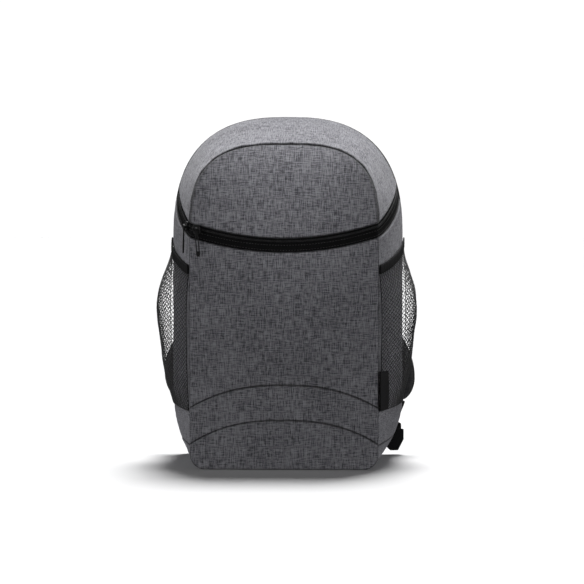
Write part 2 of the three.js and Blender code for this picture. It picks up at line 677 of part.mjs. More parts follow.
// Webbing from the lower slot of the lock down to the corner tab
function strapWebbing(sign) {
  const lock = lockMiddle(sign);
  const { along, out } = strapFrame(1, sign);
  const pitch = (LOCK.height - LOCK.bar) / LOCK.slots;
  const slotPlace = lock.clone().addScaledVector(along, pitch / 2);
  const behind = LOCK.thick / 2 + WEBBING.thick + SEAM_GAP;
  const tabY = BACK_Y + SEAM_GAP + TAB.thick + SEAM_GAP + WEBBING.thick / 2;
  const tabMiddle = new THREE.Vector3(sign * (TAB.outer - WEBBING.width / 2 - 3), tabY, 0);
  const route = [
    slotPlace.clone().addScaledVector(along, -pitch / 2 - WEBBING.tuck).addScaledVector(out, behind),
    slotPlace.clone().addScaledVector(along, -LOCK.slotHeight / 4).addScaledVector(out, behind),
    slotPlace.clone().addScaledVector(out, 0),
    slotPlace.clone().addScaledVector(along, LOCK.slotHeight / 4).addScaledVector(out, -behind),
    slotPlace.clone().addScaledVector(along, pitch / 2 + LOCK.bar).addScaledVector(out, -behind),
    tabMiddle.clone().setZ(TAB.high + WEBBING.lead).add(new THREE.Vector3(0, TAB.thick, 0)),
    tabMiddle.clone().setZ(TAB.high - 4),
    tabMiddle.clone().setZ(TAB.low + WEBBING.lead),
  ];
  const rings = route.map((point, i) => {
    const ahead = route[Math.min(route.length - 1, i + 1)].clone();
    const tangent = ahead.sub(route[Math.max(0, i - 1)]).normalize();
    const lockAcross = strapFrame(1, sign).across.clone();
    const share = clamp((i - 3) / 3, 0, 1);
    lockAcross.multiplyScalar(Math.sign(lockAcross.x));
    const across = lockAcross.lerp(new THREE.Vector3(1, 0, 0), share).normalize();
    const normal = new THREE.Vector3().crossVectors(across, tangent).normalize();
    const [w, t] = [WEBBING.width / 2, WEBBING.thick / 2];
    return [[w, t], [w, -t], [-w, -t], [-w, t]].map(([a, b]) => (
      point.clone().addScaledVector(across, a).addScaledVector(normal, b)
    ));
  });
  return loft(rings);
}

// A folded tab sewn at the lower back corner
function cornerTab(sign) {
  const outline = [
    [TAB.inner, TAB.low + TAB.shoulder],
    [TAB.inner + TAB.shoulder, TAB.low],
    [TAB.outer - TAB.shoulder / 2, TAB.low],
    [TAB.outer, TAB.low + TAB.shoulder],
    [TAB.outer, TAB.high],
    [TAB.outer - WEBBING.width - 2, TAB.high],
  ];
  const shape = new THREE.Shape(outline.map(([x, z]) => new THREE.Vector2(sign * x, z)));
  const tab = new THREE.ExtrudeGeometry(shape, { depth: TAB.thick, bevelEnabled: false });
  tab.rotateX(Math.PI / 2);
  tab.translate(0, BACK_Y + SEAM_GAP + TAB.thick, 0);
  return tab;
}

// Where a slider sits: the middle of the coil, its direction along the zip and outwards
function frontSliderSeat() {
  const h = (COIL_LOW + COIL_HIGH) / 2 - 1;
  const x = FRONT_SLIDER.across;
  const z = zipLow(x) + h;
  const step = 2;
  const slope = (faceDepth(x + step, z) - faceDepth(x - step, z)) / (2 * step);
  const out = new THREE.Vector3(slope, -1, 0).normalize();
  const lean = THREE.MathUtils.degToRad(FRONT_SLIDER.lean);
  const along = new THREE.Vector3(Math.cos(lean), slope * Math.cos(lean), -Math.sin(-lean)).normalize();
  return { place: new THREE.Vector3(x, faceDepth(x, z), z), out, along };
}

function sideSliderSeat() {
  const h = (COIL_LOW + COIL_HIGH) / 2 - 1;
  const at = (share) => sidePoint(ZIP_CORNER + h, ZIP_CORNER + ZIP.rise + h, share, -1);
  const step = 0.01;
  const share = SIDE_SLIDER.depthShare;
  const along = at(share - step).sub(at(share + step)).normalize();
  const flat = new THREE.Vector3(along.x, along.y, 0).normalize();
  const out = new THREE.Vector3(flat.y, -flat.x, 0).normalize();
  out.multiplyScalar(-Math.sign(out.x));
  return { place: at(share), out, along };
}

// The whole bag
const bag = new THREE.Group();
bag.name = 'cooler_backpack';

function add(name, geometry, material, parent = bag) {
  const mesh = new THREE.Mesh(geometry, material);
  mesh.name = name;
  parent.add(mesh);
  return mesh;
}

for (const [name, geometry] of Object.entries(frontPanels())) {
  add(name, geometry, CLOTH);
}
add('brow_panel', browPanel(), CLOTH);
add('crown_panel', crownPanel(), CROWN_CLOTH);
add('base_panel', basePanel(), CLOTH);
add('back_panel', backPanel(), BACK_CLOTH);
add('zip_tape_lower', zipStrip(SEAM_GAP, ZIP_LOWER_TAPE, 0, ZIP.thick), ZIP_BLACK);
add('zip_coil', zipStrip(COIL_LOW, COIL_HIGH, ZIP_COIL.proud, ZIP.thick), ZIP_BLACK);
add('zip_tape_upper', zipStrip(COIL_HIGH + SEAM_GAP, ZIP.height - 2 * SEAM_GAP, 0, ZIP.thick), ZIP_BLACK);

for (const { name, sign } of SIDES) {
  add(`side_panel_${name}`, sidePanel(sign), CLOTH);
  add(`pocket_net_${name}`, pocketNet(sign), NET_CORD);
  add(`pocket_binding_${name}`, pocketBinding(sign), ELASTIC);
  add(`shoulder_strap_${name}`, shoulderStrap(sign), BACK_CLOTH);
  add(`strap_webbing_${name}`, strapWebbing(sign), WEB_BLACK);
  add(`corner_tab_${name}`, cornerTab(sign), WEB_BLACK);
  const lock = add(`ladder_lock_${name}`, ladderLock(), PLASTIC);
  const { across, out } = strapFrame(1, sign);
  across.multiplyScalar(Math.sign(across.x));
  lock.position.copy(lockMiddle(sign));
  lock.quaternion.setFromRotationMatrix(new THREE.Matrix4().makeBasis(across, out, across.clone().cross(out)));
}

const tag = add('side_tag', sideTag(), WEB_BLACK);
tag.position.set(FRONT.half + TAG.standOff, -DEPTH / 2, TAG.low);
tag.rotation.z = -THREE.MathUtils.degToRad(TAG.splay);

for (const [name, seat] of [['front', frontSliderSeat()], ['side', sideSliderSeat()]]) {
  const { place, out, along } = seat;
  const back = out.clone().negate();
  const up = new THREE.Vector3().crossVectors(along, back).normalize();
  const group = new THREE.Group();
  group.position.copy(place).addScaledVector(out, SLIDER.seat);
  group.quaternion.setFromRotationMatrix(new THREE.Matrix4().makeBasis(along, back, up));
  bag.add(group);
  add(`zip_slider_${name}`, sliderBody(), METAL, group);
  add(`zip_pull_${name}`, pullBody(), METAL, group).position.set(0, -BAR_OUT, 0);
}

export default bag;
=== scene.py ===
"""The looks of a grey melange cooler backpack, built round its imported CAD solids.

Metres, +Z up. The front panel faces -Y and the bag stands on z = 0. The sizes below repeat the part's own
driving dimensions, so each cloth panel, strap and fitting lies where the solid that it stands for lies.
"""

from __future__ import annotations

import json
import logging
import math
from collections.abc import Callable, Iterator, Sequence
from contextlib import contextmanager
from dataclasses import dataclass
from enum import Enum

import bpy
import numpy as np
from mathutils import Matrix, Vector

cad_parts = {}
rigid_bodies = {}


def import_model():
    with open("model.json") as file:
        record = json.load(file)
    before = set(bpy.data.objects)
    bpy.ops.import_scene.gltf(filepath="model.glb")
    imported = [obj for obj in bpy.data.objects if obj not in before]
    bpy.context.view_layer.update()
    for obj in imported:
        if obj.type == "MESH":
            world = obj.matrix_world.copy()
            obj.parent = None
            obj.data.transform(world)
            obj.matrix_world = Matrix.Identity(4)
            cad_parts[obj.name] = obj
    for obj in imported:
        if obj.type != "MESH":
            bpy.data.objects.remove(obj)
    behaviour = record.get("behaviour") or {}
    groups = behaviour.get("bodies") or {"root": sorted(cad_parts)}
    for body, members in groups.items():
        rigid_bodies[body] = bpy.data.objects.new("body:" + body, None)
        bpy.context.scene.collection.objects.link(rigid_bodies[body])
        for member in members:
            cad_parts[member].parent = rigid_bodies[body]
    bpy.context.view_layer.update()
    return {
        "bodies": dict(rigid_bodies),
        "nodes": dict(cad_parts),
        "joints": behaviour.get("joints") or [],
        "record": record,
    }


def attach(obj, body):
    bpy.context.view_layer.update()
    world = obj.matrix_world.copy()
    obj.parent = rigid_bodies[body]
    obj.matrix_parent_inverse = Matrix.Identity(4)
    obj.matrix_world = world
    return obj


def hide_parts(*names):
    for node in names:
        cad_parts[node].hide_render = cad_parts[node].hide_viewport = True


LOG = logging.getLogger("cooler_backpack")
WEAVE = "weave"
# The vertex attribute that holds the painted shade along the seams: how much the cloth's colour is darkened
# where a seam's recess would lie in shade.
PAINTED_SHADE_ATTRIBUTE = "seam"

UPRIGHT = (math.pi / 2, 0, 0)

Points = np.ndarray
Colour = tuple[float, float, float]
Curve = Callable[[Points], Points]
Surface = Callable[[Points, Points], Points]


class Ride(Enum):
    """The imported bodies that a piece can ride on."""

    BAG = "bag"
    PULL_FRONT = "pull_front"
    PULL_SIDE = "pull_side"


class Slot(Enum):
    """The record's material slots."""

    CLOTH = "melange_cloth"
    BACK = "back_cloth"
    NET = "net"
    ELASTIC = "elastic"
    ZIP = "zip_tape"
    WEBBING = "webbing"
    METAL = "black_metal"
    PLASTIC = "black_plastic"


class Side(Enum):
    """The sides of the bag seen from the front, with the sign of their X."""

    LEFT = -1
    RIGHT = 1


# Small tools for meshes


def select_only(*pieces: bpy.types.Object) -> None:
    """Leaves only these objects selected, with the first of them active.

    Args:
        pieces: The objects to select.
    """
    for other in list(bpy.context.selected_objects):
        other.select_set(False)
    for piece in pieces:
        piece.select_set(True)
    bpy.context.view_layer.objects.active = pieces[0]


class Pick(Enum):
    """What a selection in edit mode is made of."""

    VERTEX = (True, False, False)
    EDGE = (False, True, False)
    FACE = (False, False, True)


@contextmanager
def editing(
    piece: bpy.types.Object, pick: Pick = Pick.VERTEX, chosen: Sequence[int] | None = None
) -> Iterator[None]:
    """Edit mode on one piece.

    Args:
        piece: The mesh object to edit.
        pick: The kind of selection.
        chosen: The edges or faces selected on the way in, or None for all of the mesh.

    Returns:
        A context that leaves edit mode at its end.
    """
    select_only(piece)
    bpy.context.tool_settings.mesh_select_mode = pick.value
    for group in (piece.data.vertices, piece.data.edges, piece.data.polygons):
        group.foreach_set("select", np.full(len(group), chosen is None))
    if chosen is not None:
        group = piece.data.edges if pick is Pick.EDGE else piece.data.polygons
        wanted = np.zeros(len(group), bool)
        wanted[list(chosen)] = True
        group.foreach_set("select", wanted)
    bpy.ops.object.mode_set(mode="EDIT")
    try:
        yield
    finally:
        bpy.ops.object.mode_set(mode="OBJECT")


def modified(piece: bpy.types.Object, kind: str, **settings: object) -> bpy.types.Object:
    """Adds a modifier and applies it.

    Args:
        piece: The object to change.
        kind: The modifier's type.
        settings: The modifier's values by name.

    Returns:
        The same object.
    """
    select_only(piece)
    modifier = piece.modifiers.new(kind.title(), kind)
    for name, value in settings.items():
        setattr(modifier, name, value)
    bpy.ops.object.modifier_apply(modifier=modifier.name)
    return piece


def settled(piece: bpy.types.Object) -> bpy.types.Object:
    """The piece with its place, turn and size put in its mesh."""
    select_only(piece)
    bpy.ops.object.transform_apply(location=True, rotation=True, scale=True)
    return piece


def placed(piece: bpy.types.Object, matrix: Matrix) -> bpy.types.Object:
    """The piece's mesh moved by a matrix.

    Args:
        piece: A settled piece.
        matrix: Where its own frame goes in the row frame.

    Returns:
        The same object.
    """
    piece.data.transform(matrix)
    if matrix.determinant() < 0:
        piece.data.flip_normals()
    return piece


def places_of(mesh: bpy.types.Mesh) -> Points:
    """The places of a mesh's vertices as an N by 3 array."""
    flat = np.empty(len(mesh.vertices) * 3)
    mesh.vertices.foreach_get("co", flat)
    return flat.reshape(-1, 3)


def set_places(mesh: bpy.types.Mesh, points: Points) -> None:
    """Moves a mesh's vertices to an N by 3 array of places."""
    mesh.vertices.foreach_set("co", np.asarray(points, float).ravel())
    mesh.update()


def set_values(mesh: bpy.types.Mesh, name: str, values: Points) -> None:
    """Keeps one number for each vertex of a mesh under a name that materials read."""
    attribute = mesh.attributes.get(name) or mesh.attributes.new(name, "FLOAT", "POINT")
    attribute.data.foreach_set("value", np.asarray(values, np.float32).ravel())


def smooth(piece: bpy.types.Object, degrees: float = 40.0) -> bpy.types.Object:
    """Shades a piece smooth except across edges sharper than an angle.

    Args:
        piece: The mesh object.
        degrees: The sharpest angle that still shades smooth.

    Returns:
        The same object.
    """
    select_only(piece)
    bpy.ops.object.shade_smooth_by_angle(angle=math.radians(degrees))
    return piece


def unit(vectors: Points) -> Points:
    """The vectors of an array, each at length 1."""
    return vectors / np.maximum(np.linalg.norm(vectors, axis=-1, keepdims=True), 1e-12)


def blend(a: Points | float, b: Points | float, share: Points | float) -> Points:
    """The value a share of the way from a to b."""
    return a + (b - a) * share


def distances(line: Points) -> Points:
    """How far along a line each of its places lies."""
    return np.concatenate([[0], np.cumsum(np.linalg.norm(np.diff(line, axis=0), axis=1))])


def places_at(at: Points, along: Points, line: Points) -> Points:
    """The places of a line at distances along it.

    Args:
        at: The wanted distances.
        along: The distances of the line's own places.
        line: Those places, N by 2 or N by 3.

    Returns:
        One place for each wanted distance.
    """
    return np.stack([np.interp(at, along, line[:, k]) for k in range(line.shape[1])], axis=-1)


def squarer(wave: Points, power: float) -> Points:
    """A wave between -1 and 1 with its flanks steepened by a power below 1."""
    return np.sign(wave) * np.abs(wave) ** power


def ripple(along: Points, wavelength: float, seed: float) -> Points:
    """Uneven waves along a line, between about -1 and 1, from a few sines that don't repeat together.

    Args:
        along: Distances along the line.
        wavelength: The usual length of a wave.
        seed: Shifts the waves, so that two lines differ.

    Returns:
        The height of the waves at each distance.
    """
    turn = 2 * math.pi * along / wavelength
    return (
        0.45 * np.sin(turn + 1.7 * seed)
        + 0.30 * np.sin(1.63 * turn + 2.9 * seed + 0.8)
        + 0.25 * np.sin(0.57 * turn + 4.1 * seed + 2.1)
    )


def swell(points: Points, wavelength: float, seed: float) -> Points:
    """Slow uneven waves through space, between about -1 and 1, for cloth that isn't quite even.

    Args:
        points: The places, N by 3 or rows by columns by 3.
        wavelength: The usual length of a wave.
        seed: Shifts the waves.

    Returns:
        One number for each place.
    """
    x, y, z = points[..., 0], points[..., 1], points[..., 2]
    return (
        ripple(x + 0.4 * z, wavelength, seed)
        + ripple(z - 0.3 * y, wavelength * 1.2, seed + 3.1)
        + ripple(y + 0.25 * x, wavelength * 0.9, seed + 5.3)
    ) / 2.2


def graded(length: float, step: float, steps: Sequence[float]) -> Points:
    """Shares of a length with fine steps at both ends and even ones between.

    Args:
        length: The whole length.
        step: The usual step in the middle.
        steps: Distances from each end, finest first, starting at 0.

    Returns:
        Growing shares from 0 to 1.
    """
    reach = steps[-1]
    if length <= 2.5 * reach:
        return np.linspace(0, 1, max(3, round(length / step) + 1))
    middle = np.linspace(reach, length - reach, max(2, round((length - 2 * reach) / step) + 1))
    ends = np.array(steps[:-1])
    return np.concatenate([ends, middle, length - ends[::-1]]) / length


SEAM_STEPS = (0.0, 0.0003, 0.0007, 0.0012, 0.0018, 0.0027, 0.004, 0.0058)


def grid_piece(name: str, points: Points, weave: Points | None = None) -> bpy.types.Object:
    """A sheet of quads through a grid of places, with its UVs measured in metres along the cloth.

    Args:
        name: The piece's name.
        points: Rows by columns by 3.
        weave: Rows by columns by 2, where the cloth's threads don't follow the grid.

    Returns:
        The new object, at the origin.
    """
    rows, columns = points.shape[0] - 1, points.shape[1] - 1
    bpy.ops.mesh.primitive_grid_add(x_subdivisions=columns, y_subdivisions=rows, size=1)
    piece = bpy.context.active_object
    piece.name = name
    piece.data.name = name
    start = places_of(piece.data)
    across = np.rint((start[:, 0] + 0.5) * columns).astype(int)
    up = np.rint((start[:, 1] + 0.5) * rows).astype(int)
    set_places(piece.data, points[up, across])
    if weave is None:
        along = np.cumsum(np.linalg.norm(np.diff(points, axis=1, prepend=points[:, :1]), axis=2), axis=1)
        rise = np.cumsum(np.linalg.norm(np.diff(points, axis=0, prepend=points[:1]), axis=2), axis=0)
        level = np.broadcast_to(rise.mean(axis=1, keepdims=True), rise.shape)
        weave = np.stack([along - along[:, [columns // 2]], level], axis=2)
    cloth = weave[up, across]
    layer = piece.data.uv_layers[0]
    layer.name = WEAVE
    corner = np.empty(len(piece.data.loops), int)
    piece.data.loops.foreach_get("vertex_index", corner)
    layer.data.foreach_set("uv", cloth[corner].ravel())
    return piece


def grid_normals(points: Points, outward: Points) -> Points:
    """The unit normal at each place of a grid.

    Args:
        points: Rows by columns by 3.
        outward: A place well inside the bag, which the normals turn away from.

    Returns:
        Rows by columns by 3.
    """
    up = np.gradient(points, axis=0)
    across = np.gradient(points, axis=1)
    normal = unit(np.cross(across, up))
    facing = np.sign((normal * (points - outward)).sum(axis=2, keepdims=True))
    return normal * np.where(facing == 0, 1, facing)


def near_line(points: Points, line: Points) -> tuple[Points, Points]:
    """How far places are from a line, and where along it.

    Args:
        points: N by 3.
        line: M by 3, the line's own points.

    Returns:
        The distance of each place, and the distance along the line of its nearest point.
    """
    starts, steps = line[:-1], np.diff(line, axis=0)
    lengths = np.linalg.norm(steps, axis=1)
    before = np.concatenate([[0], np.cumsum(lengths)[:-1]])
    best = np.full(len(points), np.inf)
    where = np.zeros(len(points))
    for start, step, length, run in zip(starts, steps, lengths, before):
        if length < 1e-9:
            continue
        share = np.clip((points - start) @ step / length**2, 0, 1)
        away = np.linalg.norm(points - start - share[:, None] * step, axis=1)
        closer = away < best
        best[closer] = away[closer]
        where[closer] = run + share[closer] * length
    return best, where


def repeated(name: str, pattern: bpy.types.Object, frames: Points) -> bpy.types.Object:
    """Many copies of a small piece in one mesh.

    Args:
        name: The new piece's name.
        pattern: The small piece, settled in its own frame. It is removed.
        frames: N by 4 by 3: the copies' X, Y and Z directions, scaled as wanted, and their places.

    Returns:
        The new object.
    """
    mesh = pattern.data
    points = places_of(mesh)
    faces = [tuple(face.vertices) for face in mesh.polygons]
    moved = np.einsum("pk,nkc->npc", points, frames[:, :3]) + frames[:, None, 3]
    copies = [
        tuple(corner + n * len(points) for corner in face) for n in range(len(frames)) for face in faces
    ]
    made = bpy.data.meshes.new(name)
    made.from_pydata(moved.reshape(-1, 3), [], copies)
    made.update()
    piece = bpy.data.objects.new(name, made)
    bpy.context.scene.collection.objects.link(piece)
    bpy.data.objects.remove(pattern)
    return smooth(piece, 60)


def tube_piece(name: str, rings: Points) -> bpy.types.Object:
    """A closed body through rings of places.

    Args:
        name: The piece's name.
        rings: Rings by places by 3, each ring once round without its first place again.

    Returns:
        The new object, with its ends closed and its faces outwards.
    """
    closed = np.concatenate([rings, rings[:, :1]], axis=1)
    piece = grid_piece(name, closed)
    with editing(piece):
        bpy.ops.mesh.remove_doubles(threshold=1e-6)
        bpy.ops.mesh.select_all(action="DESELECT")
        bpy.ops.mesh.select_non_manifold(extend=False)
        bpy.ops.mesh.edge_face_add()
        bpy.ops.mesh.select_all(action="SELECT")
        bpy.ops.mesh.normals_make_consistent(inside=False)
    return piece


def handed_in(
    piece: bpy.types.Object,
    material: bpy.types.Material,
    slot: Slot,
    replaces: Sequence[str] = (),
    ride: Ride = Ride.BAG,
) -> bpy.types.Object:
    """Gives a finished piece its material, its body and the CAD nodes that it stands for.

    Args:
        piece: The finished mesh object.
        material: What it is made of.
        slot: The record's slot that its finish comes from; not used.
        replaces: The CAD nodes that it stands for.
        ride: The body that it rides on.

    Returns:
        The same object.
    """
    piece.data.materials.clear()
    piece.data.materials.append(material)
    piece.name = piece.data.name = f"{piece.name.partition('.')[0]}_shown"
    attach(piece, ride.value)
    if replaces:
        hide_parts(*replaces)
    LOG.info("%s: %d faces", piece.name, len(piece.data.polygons))
    return piece


def slotted_plate(x: Points, z: Points, slots: Sequence[int], thick: float) -> bpy.types.Object:
    """An upright plate of three columns of faces, with slots in its middle one.

    Args:
        x: The four places across at each height, N by 4.
        z: The heights, upwards.
        slots: The rows of faces that are slots, counted from the lowest.
        thick: The plate's thickness.

    Returns:
        The plate, in its own frame.
    """
    rows = len(z) - 1
    bpy.ops.mesh.primitive_grid_add(x_subdivisions=3, y_subdivisions=rows, size=1, rotation=UPRIGHT)
    plate = settled(bpy.context.active_object)
    points = places_of(plate.data)
    column = np.rint((points[:, 0] + 0.5) * 3).astype(int)
    row = np.rint((points[:, 2] + 0.5) * rows).astype(int)
    set_places(plate.data, np.stack([x[row, column], np.zeros(len(row)), z[row]], axis=1))
    holes = [
        face.index
        for face in plate.data.polygons
        if min(column[list(face.vertices)]) == 1 and min(row[list(face.vertices)]) in slots
    ]
    with editing(plate, Pick.FACE, holes):
        bpy.ops.mesh.delete(type="FACE")
    return modified(plate, "SOLIDIFY", thickness=thick, offset=0.0)


# Finishes


class Wire:
    """A shader socket that takes part in arithmetic. Each sign adds its Math node."""

    def __init__(self, bench: Bench, socket: bpy.types.NodeSocket) -> None:
        """Keeps the socket and the bench that its nodes are added to."""
        self.bench = bench
        self.socket = socket

    def _math(self, operation: str, *values: Wire | float) -> Wire:
        """A Math node on these values, in their order."""
        return self.bench.node("ShaderNodeMath", {"operation": operation}, dict(enumerate(values)))

    def __add__(self, other: Wire | float) -> Wire:
        """This value plus another."""
        return self._math("ADD", self, other)

    __radd__ = __add__

    def __sub__(self, other: Wire | float) -> Wire:
        """This value less another."""
        return self._math("SUBTRACT", self, other)

    def __rsub__(self, other: float) -> Wire:
        """A number less this value."""
        return self._math("SUBTRACT", other, self)

    def __mul__(self, other: Wire | float) -> Wire:
        """This value times another."""
        return self._math("MULTIPLY", self, other)

    __rmul__ = __mul__

    def wave(self) -> Wire:
        """The sine of this value."""
        return self._math("SINE", self)

    def ramp(self, low: float, high: float) -> Wire:
        """This value from low to high as 0 to 1, held at both ends.

        Args:
            low: What gives 0.
            high: What gives 1.

        Returns:
            The new value.
        """
        return self.bench.node(
            "ShaderNodeMapRange",
            {"clamp": True},
            {"Value": self, "From Min": low, "From Max": high},
        )


class Bench:
    """The node tree of one material, with one method for every kind of node."""

    def __init__(self, name: str) -> None:
        """Starts an empty node material of that name."""
        self.material = bpy.data.materials.new(name)
        self.material.use_nodes = True
        self.tree = self.material.node_tree
        self.tree.nodes.clear()

    def node(
        self, kind: str, settings: dict[str, object], sockets: dict[str | int, object], output: str | int = 0
    ) -> Wire:
        """Adds a node.

        Args:
            kind: The node's type.
            settings: Its own settings, set first.
            sockets: The values or wires of its inputs, by name or number.
            output: Which output to give back.

        Returns:
            That output as a wire.
        """
        made = self.tree.nodes.new(kind)
        for name, value in settings.items():
            setattr(made, name, value)
        for name, value in sockets.items():
            if isinstance(value, Wire):
                self.tree.links.new(value.socket, made.inputs[name])
            else:
                made.inputs[name].default_value = value
        return Wire(self, made.outputs[output])

    def cloth(self, across: float, along: float) -> Wire:
        """Places on the cloth, counted in patches of a width and a length.

        Args:
            across: A patch's width in metres.
            along: A patch's length in metres.

        Returns:
            The vector.
        """
        uv = self.node("ShaderNodeUVMap", {"uv_map": WEAVE}, {})
        return self.node(
            "ShaderNodeMapping", {"vector_type": "POINT"}, {"Vector": uv, "Scale": (1 / across, 1 / along, 1)}
        )

    def solid(self, patch: float) -> Wire:
        """Places in space, counted in patches of a size in metres."""
        where = self.node("ShaderNodeTexCoord", {}, {}, "Object")
        sockets = {"Vector": where, "Scale": (1 / patch,) * 3}
        return self.node("ShaderNodeMapping", {"vector_type": "POINT"}, sockets)

    def noise(self, vector: Wire, detail: float = 2.0, roughness: float = 0.5) -> Wire:
        """Noise with features about one patch across, between 0 and 1."""
        sockets = {"Vector": vector, "Scale": 1.0, "Detail": detail, "Roughness": roughness}
        return self.node("ShaderNodeTexNoise", {}, sockets)

    def value(self, name: str) -> Wire:
        """What the mesh keeps under that name at each vertex."""
        return self.node("ShaderNodeAttribute", {"attribute_name": name}, {}, "Fac")

    def parts(self, vector: Wire) -> tuple[Wire, Wire]:
        """The X and Y of a vector."""
        split = self.tree.nodes.new("ShaderNodeSeparateXYZ")
        self.tree.links.new(vector.socket, split.inputs[0])
        return Wire(self, split.outputs[0]), Wire(self, split.outputs[1])

    def tone(self, dark: Colour, light: Colour, share: Wire | float) -> Wire:
        """A colour between two, by a share from 0 to 1."""
        return self.node(
            "ShaderNodeMix",
            {"data_type": "RGBA", "clamp_factor": True},
            {0: share, 6: (*dark, 1), 7: (*light, 1)},
            2,
        )

    def shaded(self, colour: Wire, share: Wire) -> Wire:
        """A colour darkened towards black by a share from 0 to 1."""
        return self.node(
            "ShaderNodeMix",
            {"data_type": "RGBA", "clamp_factor": True},
            {0: share, 6: colour, 7: (0.004, 0.004, 0.0045, 1)},
            2,
        )

    def bump(self, height: Wire, distance: float, strength: float = 1.0) -> Wire:
        """A normal from a height.

        Args:
            height: The height, 1 being the full distance.
            distance: That distance in metres.
            strength: How much of it shows.

        Returns:
            The normal.
        """
        return self.node("ShaderNodeBump", {}, {"Height": height, "Distance": distance, "Strength": strength})

    def finish(
        self, base: Wire | Colour, roughness: Wire | float, normal: Wire | None, **fixed: float
    ) -> bpy.types.Material:
        """Ends the tree in one Principled shader.

        Args:
            base: The base colour.
            roughness: The roughness.
            normal: The normal, where there is one.
            fixed: Other sockets by name with _ for spaces, as plain numbers.

        Returns:
            The material.
        """
        sockets: dict[str | int, object] = {
            "Base Color": base if isinstance(base, Wire) else (*base, 1),
            "Roughness": roughness,
        }
        if normal is not None:
            sockets["Normal"] = normal
        sockets.update({name.replace("_", " "): value for name, value in fixed.items()})
        shader = self.node("ShaderNodeBsdfPrincipled", {}, sockets)
        self.node_out(shader)
        return self.material

    def node_out(self, shader: Wire) -> None:
        """Links a shader to the material's output."""
        out = self.tree.nodes.new("ShaderNodeOutputMaterial")
        self.tree.links.new(shader.socket, out.inputs["Surface"])


@dataclass(frozen=True)
class Melange:
    """Plain-woven polyester of mixed dark and light yarns, in short upright and level streaks."""

    name: str
    dark: Colour
    light: Colour
    streak: float = 0.0011
    run: float = 0.014
    pitch: float = 0.00085
    contrast: float = 1.12
    mottle: float = 0.05
    mottle_strength: float = 0.45
    seam_shade: float = 0.85
    sheen: float = 0.25

    def layers(self) -> list[tuple[float, float, float]]:
        """The yarns' noise as width, height and strength: long and short runs each way, then specks."""
        fine = self.streak * 0.8
        return [
            (self.streak, self.run, 1.7),
            (self.run * 0.8, self.streak, 1.6),
            (fine, self.run * 0.5, 1.0),
            (self.run * 0.45, fine, 0.9),
            (self.streak * 0.7, self.streak * 0.9, 0.8),
        ]

    def make(self) -> bpy.types.Material:
        """The material."""
        bench = Bench(self.name)
        mixed = (bench.noise(bench.solid(self.mottle), 2.0) - 0.5) * self.mottle_strength
        for across, along, strength in self.layers():
            mixed = mixed + (bench.noise(bench.cloth(across, along), 1.0) - 0.5) * strength
        x, y = bench.parts(bench.cloth(self.pitch / (2 * math.pi), self.pitch / (2 * math.pi)))
        yarn = x.wave() * y.wave()
        share = mixed * self.contrast + 0.5 + yarn * 0.06
        # Painted shade: the colour is darkened towards black along the seams, standing in for the shade in
        # their recesses.
        painted_seam_shade = bench.value(PAINTED_SHADE_ATTRIBUTE).ramp(0.2, 1.0) * self.seam_shade
        colour = bench.shaded(bench.tone(self.dark, self.light, share), painted_seam_shade)
        height = yarn * 0.5 + mixed * 0.6
        return bench.finish(
            colour,
            share * -0.12 + 0.93,
            bench.bump(height, 0.00022, 0.7),
            Sheen_Weight=self.sheen,
            Sheen_Roughness=0.55,
            Specular_IOR_Level=0.3,
        )


@dataclass(frozen=True)
class Ribbed:
    """Black narrow fabric with ribs across or along it: tape, webbing, elastic or a woven tag."""

    name: str
    dark: Colour
    light: Colour
    across: float
    along: float
    depth: float = 0.0003
    roughness: float = 0.85
    sheen: float = 0.2
    shine: float = 0.12

    def make(self) -> bpy.types.Material:
        """The material."""
        bench = Bench(self.name)
        turn = 2 * math.pi
        x, y = bench.parts(bench.cloth(self.across / turn, self.along / turn))
        rib = (x.wave() * 0.5 + 0.5) * 0.6 + (y.wave() * 0.5 + 0.5) * 0.4
        fuzz = bench.noise(bench.solid(0.0016), 3.0, 0.6)
        share = rib * 0.7 + (fuzz - 0.5) * 0.9 + 0.15
        # The colour is darkened by the painted seam shade wherever the mesh holds it.
        return bench.finish(
            bench.shaded(bench.tone(self.dark, self.light, share), bench.value(PAINTED_SHADE_ATTRIBUTE) * 0.6),
            share * -0.2 + self.roughness,
            bench.bump(rib + fuzz * 0.4, self.depth, 0.8),
            Sheen_Weight=self.sheen,
            Sheen_Roughness=0.5,
            Specular_IOR_Level=self.shine,
        )


@dataclass(frozen=True)
class Hard:
    """Enamelled metal or moulded plastic, with a little grain and rubbed edges."""

    name: str
    dark: Colour
    worn: Colour
    roughness: float
    grain: float
    metallic: float = 0.0
    coat: float = 0.0

    def make(self) -> bpy.types.Material:
        """The material."""
        bench = Bench(self.name)
        grain = bench.noise(bench.solid(self.grain), 3.0, 0.6)
        rubbed = bench.noise(bench.solid(self.grain * 14), 2.0).ramp(0.52, 0.74) * 0.5
        return bench.finish(
            bench.tone(self.dark, self.worn, rubbed),
            (grain - 0.5) * 0.25 + self.roughness,
            bench.bump(grain, 0.00006, 0.5),
            Metallic=self.metallic,
            Coat_Weight=self.coat,
            Coat_Roughness=0.25,
        )


@dataclass(frozen=True)
class Yarn:
    """Knitted or twisted black yarn."""

    name: str
    dark: Colour
    light: Colour
    fibre: float
    roughness: float = 0.6

    def make(self) -> bpy.types.Material:
        """The material."""
        bench = Bench(self.name)
        fibre = bench.noise(bench.solid(self.fibre), 3.0, 0.6)
        return bench.finish(
            bench.tone(self.dark, self.light, fibre.ramp(0.3, 0.75)),
            (fibre - 0.5) * 0.3 + self.roughness,
            bench.bump(fibre, 0.0001, 0.6),
            Sheen_Weight=0.3,
            Sheen_Roughness=0.4,
        )


